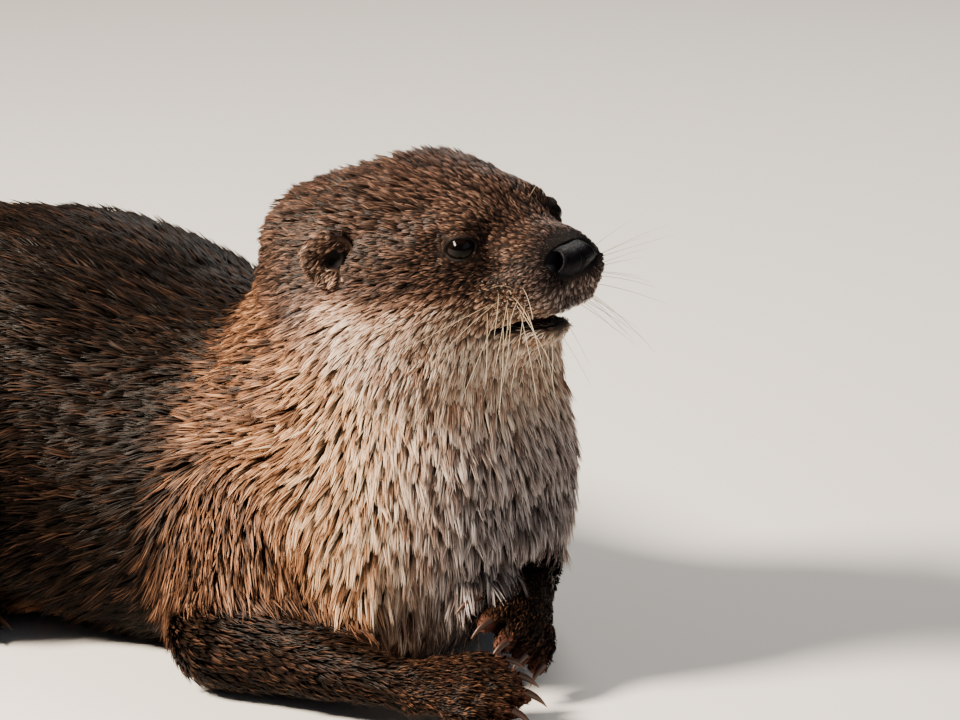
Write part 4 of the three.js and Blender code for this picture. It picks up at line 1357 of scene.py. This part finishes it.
coatGroups = {
    "face": ("head", "jaw", "nose"), "neck": ("neck",), "chest": ("chest",), "loin": ("loin",),
    "rump": ("rump",), "tail": ("tail",), "arms": ("arm", "forearm", "forepaw"),
    "legs": ("thigh", "shank", "hindpaw"),
}
tufts, tuftRegion = growTufts()
tuftPlaces = placesOn(bakeMap(), tufts[0] * mm)
coatPieces = []
for group, regions in coatGroups.items():
    members = np.flatnonzero(np.isin(tuftRegion, [regionNames.index(name) for name in regions]))
    parts = math.ceil(len(members) / tuftValues["most"])
    members = members[np.argsort(tufts[0][members, 0], kind="stable")]
    for number, chosen in enumerate(np.array_split(members, parts), 1):
        name = f"coat_{group}_{number}"
        coatPieces.append(placed(name, tuftMesh(name, chosen)))
    print("coat", group, len(members), "tufts in", parts)
print("coat triangles:", sum(len(piece.data.polygons) for piece in coatPieces), "and skin", len(skinTris))


# looks: a node group gives the coat's colours, and each material keeps its own shader
class Net:
    # a few short ways to add nodes to a tree
    def __init__(self, tree):
        self.tree = tree

    def add(self, kind, inputs=(), **settings):
        node = self.tree.nodes.new(kind)
        for key, value in settings.items():
            setattr(node, key, value)
        for key, value in dict(inputs).items():
            self.put(value, node.inputs[key])
        return node

    def put(self, value, socket):
        if isinstance(value, bpy.types.NodeSocket):
            self.tree.links.new(value, socket)
        else:
            socket.default_value = value

    def math(self, operation, a, b=0.0, clamp=False):
        node = self.add("ShaderNodeMath", operation=operation, use_clamp=clamp)
        self.put(a, node.inputs[0])
        self.put(b, node.inputs[1])
        return node.outputs[0]

    def between(self, value, low, high, toLow=0.0, toHigh=1.0):
        inputs = {"Value": value, "From Min": low, "From Max": high, "To Min": toLow, "To Max": toHigh}
        return self.add("ShaderNodeMapRange", inputs, interpolation_type="SMOOTHSTEP").outputs[0]

    def mixed(self, share, a, b, blend="MIX"):
        node = self.add("ShaderNodeMix", data_type="RGBA", blend_type=blend, clamp_factor=True)
        self.put(share, node.inputs[0])
        self.put(a, node.inputs[6])
        self.put(b, node.inputs[7])
        return node.outputs[2]

    def noise(self, scale, detail=3.0, rough=0.55, stretch=None):
        vector = self.add("ShaderNodeTexCoord").outputs["Object"]
        if stretch:
            vector = self.add("ShaderNodeMapping", {"Vector": vector, "Scale": stretch}).outputs[0]
        inputs = {"Vector": vector, "Scale": scale, "Detail": detail, "Roughness": rough}
        return self.add("ShaderNodeTexNoise", inputs).outputs["Fac"]

    def colours(self, value, stops):
        node = self.add("ShaderNodeValToRGB", {"Fac": value})
        ramp_ = node.color_ramp
        while len(ramp_.elements) < len(stops):
            ramp_.elements.new(0.5)
        for element, (place, colour) in zip(ramp_.elements, stops):
            element.position = place
            element.color = (*colour, 1)
        return node.outputs[0]

    def plainGrey(self, value):
        return self.add("ShaderNodeCombineColor", {0: value, 1: value, 2: value}).outputs[0]

    def bumped(self, shader, height, strength, distance, invert=False):
        inputs = {"Height": height, "Strength": strength, "Distance": distance}
        bump = self.add("ShaderNodeBump", inputs, invert=invert)
        self.put(bump.outputs[0], shader.inputs["Normal"])

    def painted(self, name):
        node = self.add("ShaderNodeAttribute", attribute_name=name)
        split = self.add("ShaderNodeSeparateColor", {"Color": node.outputs["Color"]})
        return split.outputs[0], split.outputs[1], split.outputs[2]


def newGroup(name, inputs, outputs):
    tree = bpy.data.node_groups.new(name, "ShaderNodeTree")
    for key, value in inputs.items():
        socket = tree.interface.new_socket(name=key, in_out="INPUT", socket_type="NodeSocketFloat")
        socket.default_value = value
    for key, kind in outputs.items():
        tree.interface.new_socket(name=key, in_out="OUTPUT", socket_type=kind)
    net = Net(tree)
    return net, net.add("NodeGroupInput").outputs, net.add("NodeGroupOutput").inputs


def newMaterial(name, roughness):
    material = bpy.data.materials.new(name)
    material.use_nodes = True
    shader = material.node_tree.nodes["Principled BSDF"]
    shader.inputs["Roughness"].default_value = roughness
    return Net(material.node_tree), shader, material


coatTones = (
    (0.0, (0.0036, 0.0022, 0.0015)), (0.12, (0.0150, 0.0078, 0.0048)), (0.28, (0.066, 0.0305, 0.0165)),
    (0.46, (0.190, 0.082, 0.038)), (0.68, (0.41, 0.212, 0.108)), (0.86, (0.58, 0.360, 0.212)),
    (1.0, (0.72, 0.52, 0.35)),
)
coatLooks = {
    "clumpShift": 0.42,  # how much lighter or darker a clump may be, in tone
    "ownShift": 0.36,
    # tufts darken towards their roots: partly the underfur's darker colour, partly painted shade between the
    # tufts
    "rootDarkAndShade": 0.13,
    "rustyGlint": 0.30,  # a few hairs are lighter and redder: partly redder hairs, partly painted glints
    "paleShift": 0.28,  # pale fur varies more than dark fur; this is the dark fur's part
    "patchScale": 38.0,  # broad, soft patches
    "patchShift": 0.16,
    "rough": 0.25,
    "bareColour": (0.080, 0.032, 0.020, 1),
    # a cool cast for grey fur; on the throat's shaded side it is painted shade
    "greyCast": (0.88, 0.92, 1.02, 1),
    "gloss": 0.055,
    "darkGloss": 0.035,
}


def coatColourGroup():
    inputs = {"Tone": 0.3, "Grey": 0.0, "Bare": 0.0, "Along": 1.0, "Own": 0.5, "Clump": 0.5}
    outputs = {"Color": "NodeSocketColor", "Roughness": "NodeSocketFloat"}
    net, given, result = newGroup("coat_colour", inputs, outputs)
    v = coatLooks
    rustyGlint = net.between(given["Own"], 0.80, 0.90, 0.0, v["rustyGlint"])
    patch = net.math("MULTIPLY", net.math("SUBTRACT", net.noise(v["patchScale"], 4.0), 0.5), v["patchShift"])
    shift = net.math("MULTIPLY", net.math("SUBTRACT", given["Clump"], 0.5), v["clumpShift"])
    own = net.math("MULTIPLY", net.math("SUBTRACT", given["Own"], 0.5), v["ownShift"])
    shift = net.math("ADD", shift, own)
    shift = net.math("ADD", net.math("ADD", shift, patch), rustyGlint)
    shift = net.math("MULTIPLY", shift, net.math("ADD", given["Tone"], v["paleShift"]))
    tone = net.math("ADD", given["Tone"], shift, clamp=True)
    colour = net.colours(tone, coatTones)
    plain = net.add("ShaderNodeRGBToBW", {"Color": colour}).outputs[0]
    cast = net.mixed(1.0, net.plainGrey(plain), v["greyCast"], "MULTIPLY")
    colour = net.mixed(given["Grey"], colour, cast)
    colour = net.mixed(given["Bare"], colour, v["bareColour"])
    # darker towards the roots: partly own colour, partly painted shade within the coat
    deep = net.between(given["Along"], 0.15, 0.95, v["rootDarkAndShade"], 1.1)
    net.put(net.mixed(1.0, colour, net.plainGrey(deep), "MULTIPLY"), result["Color"])
    rough = net.math("ADD", v["rough"], net.math("MULTIPLY", given["Own"], 0.14))
    net.put(net.math("ADD", rough, net.math("MULTIPLY", net.noise(210.0), 0.08)), result["Roughness"])
    return net.tree


coatColour = coatColourGroup()


def coatMaterial(name, gloss):
    net, shader, material = newMaterial(name, 0.45)
    group = net.add("ShaderNodeGroup", node_tree=coatColour)
    marks, lock = net.painted("marks"), net.painted("lock")
    for key, value in zip(("Tone", "Grey", "Bare", "Along", "Own", "Clump"), (*marks, *lock)):
        net.put(value, group.inputs[key])
    net.put(group.outputs["Color"], shader.inputs["Base Color"])
    net.put(group.outputs["Roughness"], shader.inputs["Roughness"])
    shader.inputs["Specular IOR Level"].default_value = gloss
    return material


skinLooks = {
    # the wet lips and nose bed: near black, with a faint blue that is a painted reflection
    "lip": (0.010, 0.010, 0.013, 1),
    # the lids' bare dark rims, and also the painted shade in the ears' openings
    "rim": (0.004, 0.003, 0.003, 1),
    "mouth": (0.016, 0.007, 0.006, 1),
    "rough": (0.5, 0.22),  # dry and wet
    "specular": 0.06,
    "bump": (0.45, 0.0004),
}


def skinMaterial():
    v = skinLooks
    net, shader, material = newMaterial("coat_underfur", 0.6)
    # the skin under the coat takes the tufts' darkened root colour, so it carries the same painted shade
    group = net.add("ShaderNodeGroup", {"Along": 0.22}, node_tree=coatColour)
    marks, face = net.painted("marks"), net.painted("face")
    for key, value in zip(("Tone", "Grey", "Bare"), marks):
        net.put(value, group.inputs[key])
    net.put(net.noise(900.0, 4.0), group.inputs["Own"])
    net.put(net.noise(300.0, 3.0), group.inputs["Clump"])
    colour = net.mixed(marks[2], group.outputs["Color"], coatLooks["bareColour"])
    for share, part in ((face[1], "lip"), (face[2], "rim"), (face[0], "mouth")):
        colour = net.mixed(share, colour, v[part])
    net.put(colour, shader.inputs["Base Color"])
    grain = net.math("MULTIPLY", net.noise(640.0), 0.2)
    net.put(net.math("ADD", net.between(face[1], 0.2, 0.8, *v["rough"]), grain), shader.inputs["Roughness"])
    height = net.math("ADD", net.noise(1500.0, 3.0), net.math("MULTIPLY", net.noise(420.0), 1.5))
    net.bumped(shader, height, *v["bump"])
    shader.inputs["Specular IOR Level"].default_value = v["specular"]
    return material


noseLooks = {
    # dark leather with a bluish tint; the blue is a painted reflection on the wet pad
    "colours": ((0.0022, 0.0022, 0.0032, 1), (0.0060, 0.0056, 0.0074, 1)),
    # the nostrils darken inwards to near black: painted shade in the holes
    "nostril": (0.0025, 0.0018, 0.0018, 1),
    "nostrilShade": (0.0015, 0.0010, 0.0010, 1),
    "rough": (0.34, 0.50),
    "pebbleScale": 1150.0,
    "bump": (0.5, 0.0003),
    "specular": 0.04,
}


def noseMaterial():
    v = noseLooks
    net, shader, material = newMaterial("nose_leather", 0.35)
    pit = net.painted("marks")[0]
    colour = net.mixed(net.noise(260.0, 4.0), *v["colours"])
    # the nostrils' pits are painted darker: painted shade
    colour = net.mixed(net.between(pit, 0.05, 0.6), colour, v["nostril"])
    net.put(colour, shader.inputs["Base Color"])
    net.put(net.between(net.noise(700.0), 0.3, 0.7, *v["rough"]), shader.inputs["Roughness"])
    vector = net.add("ShaderNodeTexCoord").outputs["Object"]
    pebble = net.add("ShaderNodeTexVoronoi", {"Vector": vector, "Scale": v["pebbleScale"]})
    height = net.math("ADD", pebble.outputs["Distance"], net.math("MULTIPLY", net.noise(2400.0), 0.3))
    net.bumped(shader, height, *v["bump"], invert=True)
    shader.inputs["Specular IOR Level"].default_value = v["specular"]
    return material


# a matte near-black for the nostrils' depths: painted shade
def nostrilShadeMaterial():
    colour = noseLooks["nostrilShade"]
    net, shader, material = newMaterial("nostril_dark", 0.9)
    patchy = net.mixed(net.noise(500.0, 4.0), colour, tuple(2 * v for v in colour[:3]) + (1,))
    net.put(patchy, shader.inputs["Base Color"])
    shader.inputs["Specular IOR Level"].default_value = 0.02
    return material


# the stops run from the eye's axis out, in quarter turns: the pupil, the brown iris and the dark edge
eyeLooks = {
    "colours": ((0.0, (0.0010, 0.0008, 0.0008)), (0.24, (0.0010, 0.0008, 0.0008)),
                (0.29, (0.0032, 0.0016, 0.0012)), (0.43, (0.0036, 0.0018, 0.0013)),
                (0.50, (0.0018, 0.0012, 0.0011)), (0.66, (0.0046, 0.0028, 0.0024))),
    "fleck": 0.06,
    "rough": (0.05, 0.12),
    "specular": 0.05,
    "coat": 0.05,
    "coatRough": 0.03,
}


def eyeMaterial():
    v = eyeLooks
    net, shader, material = newMaterial("eye_wet", 0.08)
    angle = net.painted("marks")[0]
    fleck = net.math("MULTIPLY", net.math("SUBTRACT", net.noise(900.0, 5.0), 0.5), v["fleck"])
    net.put(net.colours(net.math("ADD", angle, fleck), v["colours"]), shader.inputs["Base Color"])
    net.put(net.between(net.noise(420.0), 0.3, 0.7, *v["rough"]), shader.inputs["Roughness"])
    shader.inputs["Specular IOR Level"].default_value = v["specular"]
    shader.inputs["Coat Weight"].default_value = v["coat"]
    shader.inputs["Coat Roughness"].default_value = v["coatRough"]
    return material


hornLooks = {
    "colours": ((0.15, (0.032, 0.014, 0.009)), (0.6, (0.062, 0.028, 0.018)), (1.0, (0.14, 0.072, 0.045))),
    "rough": (0.26, 0.44),
    "bump": (0.3, 0.0002),
    "specular": 0.25,
}


def hornMaterial():
    v = hornLooks
    net, shader, material = newMaterial("claw_horn", 0.35)
    grain = net.noise(500.0, 4.0, 0.6, (1.0, 1.0, 3.0))
    place = net.math("MULTIPLY", net.math("SUBTRACT", grain, 0.5), 0.25)
    place = net.math("ADD", net.painted("marks")[0], place)
    net.put(net.colours(place, v["colours"]), shader.inputs["Base Color"])
    net.put(net.between(grain, 0.3, 0.7, *v["rough"]), shader.inputs["Roughness"])
    net.bumped(shader, grain, *v["bump"])
    shader.inputs["Specular IOR Level"].default_value = v["specular"]
    return material


whiskerLooks = {
    "colours": ((0.0, (0.010, 0.006, 0.004)), (0.08, (0.10, 0.065, 0.04)), (0.3, (0.36, 0.28, 0.18)),
                (1.0, (0.58, 0.49, 0.36))),
    "rough": (0.22, 0.36),
}


def whiskerMaterial():
    v = whiskerLooks
    net, shader, material = newMaterial("whisker_horn", 0.3)
    place = net.math("ADD", net.painted("marks")[0], net.math("MULTIPLY", net.noise(160.0), 0.2))
    net.put(net.colours(place, v["colours"]), shader.inputs["Base Color"])
    net.put(net.between(net.noise(700.0), 0.3, 0.7, *v["rough"]), shader.inputs["Roughness"])
    return material


skinMesh = makeMesh("skin", skinPoints, skinTris)
paint(skinMesh, "marks", np.stack([skinTone, skinGrey, skinBare], axis=1))
paint(skinMesh, "face", np.stack([skinMouth, skinLip, skinRimAndEarShade], axis=1))
skin = placed("skin", skinMesh)
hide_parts("ear_left", "ear_right", *[n for n in fleshNodes if n != "nose"])
skinMesh.materials.append(skinMaterial())
furLook = coatMaterial("coat_fur", coatLooks["gloss"])
darkFurLook = coatMaterial("coat_dark_fur", coatLooks["darkGloss"])
for piece in coatPieces:
    dark = any(word in piece.name for word in ("chest", "loin", "rump", "tail", "arms", "legs"))
    piece.data.materials.append(darkFurLook if dark else furLook)
nosePad.data.materials.append(noseMaterial())
# the nostrils' deep faces take the painted shade
nosePad.data.materials.append(nostrilShadeMaterial())
nosePad.data.polygons.foreach_set("material_index", nostrilShadeFaces.astype(np.int32))
eyeLook = eyeMaterial()
for ball in eyeballs:
    ball.data.materials.append(eyeLook)
claws.data.materials.append(hornMaterial())


# whiskers: tapered tubes that fan from the pads beside the nose, with a few over the eyes and on the chin
whiskerValues = {
    "rows": 4,
    "columns": 5,
    "first": (-11.5, -6.0),  # the front upper root, seen from the side
    "rowStep": (-1.5, -3.0),
    "columnStep": (-3.9, -0.35),
    "scatter": (0.35, 0.3),
    "long": (21, 42),
    # the way a whisker grows: ahead in the front and back columns, out, and up, less by column and row
    "ahead": (0.65, 0.15),
    "out": 0.8,
    "up": (0.15, 0.1, 0.32),
    "wayScatter": 0.20,
    "bend": (-0.55, 0.1, -0.75),
    "bendScatter": 0.25,
    "sag": 0.16,
    "sagSpread": (0.4, 1.5),
    "base": 0.10,
    "point": 0.035,
    "taper": 0.7,
    "sides": 5,
    "rings": 9,
    "fullLength": 26,  # shorter ones are thinner
    "brow": ((-27, 21.5, 8),),
    "browWay": (-0.1, 0.5, 0.85),
    "chin": ((-17, -27, 16), (-22, -29, 20), (-27, -30, 18), (-14, -25, 13)),
    "chinWay": (0.15, 0.35, -1.0),
}
# the whiskers' dark roots, flattened beads that stand just out of the short fur
spotValues = {
    "rows": 4,
    "columns": 6,
    "first": (-11.5, -4.0),
    "step": (3.3, 2.7),
    "slope": 0.10,
    "scatter": 0.2,
    "size": 0.50,
    "sizeSpread": (0.7, 1.15),
    "out": 0.75,
    "form": (1.35, 1, 0.9),
}


def whiskerRoots():
    v = whiskerValues
    places = []
    for row in range(v["rows"]):
        for k in range(v["columns"] - (row == 0) - (row == v["rows"] - 1)):
            x, z = (v["first"][i] + row * v["rowStep"][i] + k * v["columnStep"][i]
                    + rng.normal(0, v["scatter"][i]) for i in (0, 1))
            t = k / (v["columns"] - 1)
            up, perColumn, perRow = v["up"]
            way = np.array([mix(*v["ahead"], t), v["out"], up - perColumn * t - perRow * row])
            places.append((x, z, mix(*v["long"], rng.uniform(0.1, 0.75) + 0.25 * t), way))
    for place in ("brow", "chin"):
        places += [(x, z, long, np.array(v[place + "Way"])) for x, z, long in v[place]]
    return places


def spotRoots():
    # where the pads show the whiskers' dark roots, seen from the side
    v = spotValues
    for row in range(v["rows"]):
        for k in range(v["columns"] - (row == v["rows"] - 1)):
            x = v["first"][0] - v["step"][0] * (k + 0.5 * (row % 2)) + rng.normal(0, v["scatter"])
            z = v["first"][1] - v["step"][1] * row - v["slope"] * (x + 10) + rng.normal(0, v["scatter"])
            yield x, z


def onPad(tree, x, z, s):
    # where a side view's place lies on the skin, and the way out of it
    spot, normal, _, _ = tree.ray_cast(Vector((x, 60 * s, z)), Vector((0, -s, 0)))
    return (None, None) if spot is None or spot[1] * s < 0 else (np.array(spot), np.array(normal))


def spotMeshes(tree, s):
    v = spotValues
    way, faces = ballPoints(8, 7)
    for x, z in spotRoots():
        spot, normal = onPad(tree, x, z, s)
        if spot is not None:
            size = v["size"] * rng.uniform(*v["sizeSpread"])
            yield spot + normal * v["out"] + way * size * v["form"], faces, np.full(len(way), -1.0)


def whiskerMeshes(tree, s):
    v = whiskerValues
    turn = np.linspace(0, 2 * math.pi, v["sides"], endpoint=False)
    share = np.linspace(0, 1, v["rings"])
    for x, z, long, way in whiskerRoots():
        spot, _ = onPad(tree, x, z, s)
        if spot is None:
            continue
        way = unit(way * (1, s, 1) + rng.normal(0, v["wayScatter"], 3))
        bend = unit(np.array(v["bend"]) * (1, s, 1) + rng.normal(0, v["bendScatter"], 3))
        line = spot - way + column(share * (long + 1)) * way
        line = line + column(share ** 2 * long * v["sag"] * rng.uniform(*v["sagSpread"])) * bend
        step = unit(np.gradient(line, axis=0))
        a = unit(np.cross(step, [0.1, 0.2, 1.0]))
        b = np.cross(step, a)
        size = v["base"] * (1 - share) ** v["taper"] * min(1, long / v["fullLength"]) + v["point"]
        ring = a[:, None] * np.cos(turn)[None, :, None] + b[:, None] * np.sin(turn)[None, :, None]
        ring = line[:, None] + ring * size[:, None, None]
        yield ring.reshape(-1, 3), gridTris(v["rings"], v["sides"]), np.repeat(share, v["sides"])


def makeWhiskers():
    headTris = skinTris[(skinTris < earStart).all(1)]
    tree = BVHTree.FromPolygons(headPoints[:earStart].tolist(), headTris.tolist())
    points, tris, along, count = [], [], [], 0
    for s in sides.values():
        for more, faces, share in (*whiskerMeshes(tree, s), *spotMeshes(tree, s)):
            points.append(more)
            tris.append(faces + count)
            along.append(share)
            count += len(more)
    along = np.concatenate(along)
    mesh = makeMesh("whiskers", fromHead(np.concatenate(points)), np.concatenate(tris))
    paint(mesh, "marks", np.stack([along, 0 * along, 0 * along], axis=1))
    mesh.materials.append(whiskerMaterial())
    return placed("whiskers", mesh)


makeWhiskers()
print("whiskers made")


# floor, light and camera
stageValues = {
    "aimFromNose": (-57.5, 20.5, -54.0),  # from the nose pad's middle to what the camera looks at
    "azimuth": 40.0,
    "elevation": 15.0,
    "distance": 2000.0,
    "halfView": 0.0912,  # the tangent of half the view's width
    "floorTone": (0.62, 0.60, 0.57, 1),
    "worldTone": (0.80, 0.84, 0.92, 1),
    "worldPower": 0.13,
}
# name: (degrees round from the camera's left, height in degrees, distance mm, size mm, watts, colour)
lamps = {
    "key": (-70, 38, 1500, 380, 128, (1.0, 0.86, 0.69)),
    "fill": (40, 24, 1900, 1200, 5, (0.70, 0.83, 1.0)),
    "back": (165, 50, 1600, 900, 24, (1.0, 0.95, 0.88)),
}


def makeFloor():
    size = 6.0
    corners = np.array([[-1, -1, 0], [1, -1, 0], [1, 1, 0], [-1, 1, 0]]) * size
    mesh = makeMesh("floor", corners, np.array([[0, 1, 2, 3]]))
    floor = bpy.data.objects.new("floor", mesh)
    bpy.context.scene.collection.objects.link(floor)
    net, shader, paper = newMaterial("floor_paper", 0.85)
    shader.inputs["Base Color"].default_value = stageValues["floorTone"]
    mesh.materials.append(paper)


def lookingFrom(azimuth, elevation):
    a, e = math.radians(azimuth), math.radians(elevation)
    return Vector((math.sin(a) * math.cos(e), -math.cos(a) * math.cos(e), math.sin(e)))


def makeLamp(name, turn, height, distance, size, power, colour):
    lamp = bpy.data.lights.new(name, "AREA")
    lamp.shape = "DISK"
    lamp.size = size * mm
    lamp.energy = power
    lamp.color = colour
    holder = bpy.data.objects.new(name, lamp)
    bpy.context.scene.collection.objects.link(holder)
    way = lookingFrom(stageValues["azimuth"] + turn, height)
    holder.location = cameraAim + way * distance * mm
    holder.rotation_euler = (-way).to_track_quat("-Z", "Y").to_euler()


cameraAim = Vector(centreOf("nose")) + Vector(stageValues["aimFromNose"]) * mm
makeFloor()
for name, values in lamps.items():
    makeLamp(name, *values)
world = bpy.data.worlds.new("studio")
world.use_nodes = True
world.node_tree.nodes["Background"].inputs["Color"].default_value = stageValues["worldTone"]
world.node_tree.nodes["Background"].inputs["Strength"].default_value = stageValues["worldPower"]
bpy.context.scene.world = world

cameraWay = lookingFrom(stageValues["azimuth"], stageValues["elevation"])
cameraData = bpy.data.cameras.new("camera")
cameraData.sensor_width = 36
cameraData.lens = cameraData.sensor_width / 2 / stageValues["halfView"]
cameraData.clip_end = 50
camera = bpy.data.objects.new("camera", cameraData)
bpy.context.scene.collection.objects.link(camera)
camera.location = cameraAim + cameraWay * stageValues["distance"] * mm
camera.rotation_euler = (-cameraWay).to_track_quat("-Z", "Y").to_euler()
bpy.context.scene.camera = camera
bpy.context.view_layer.update()
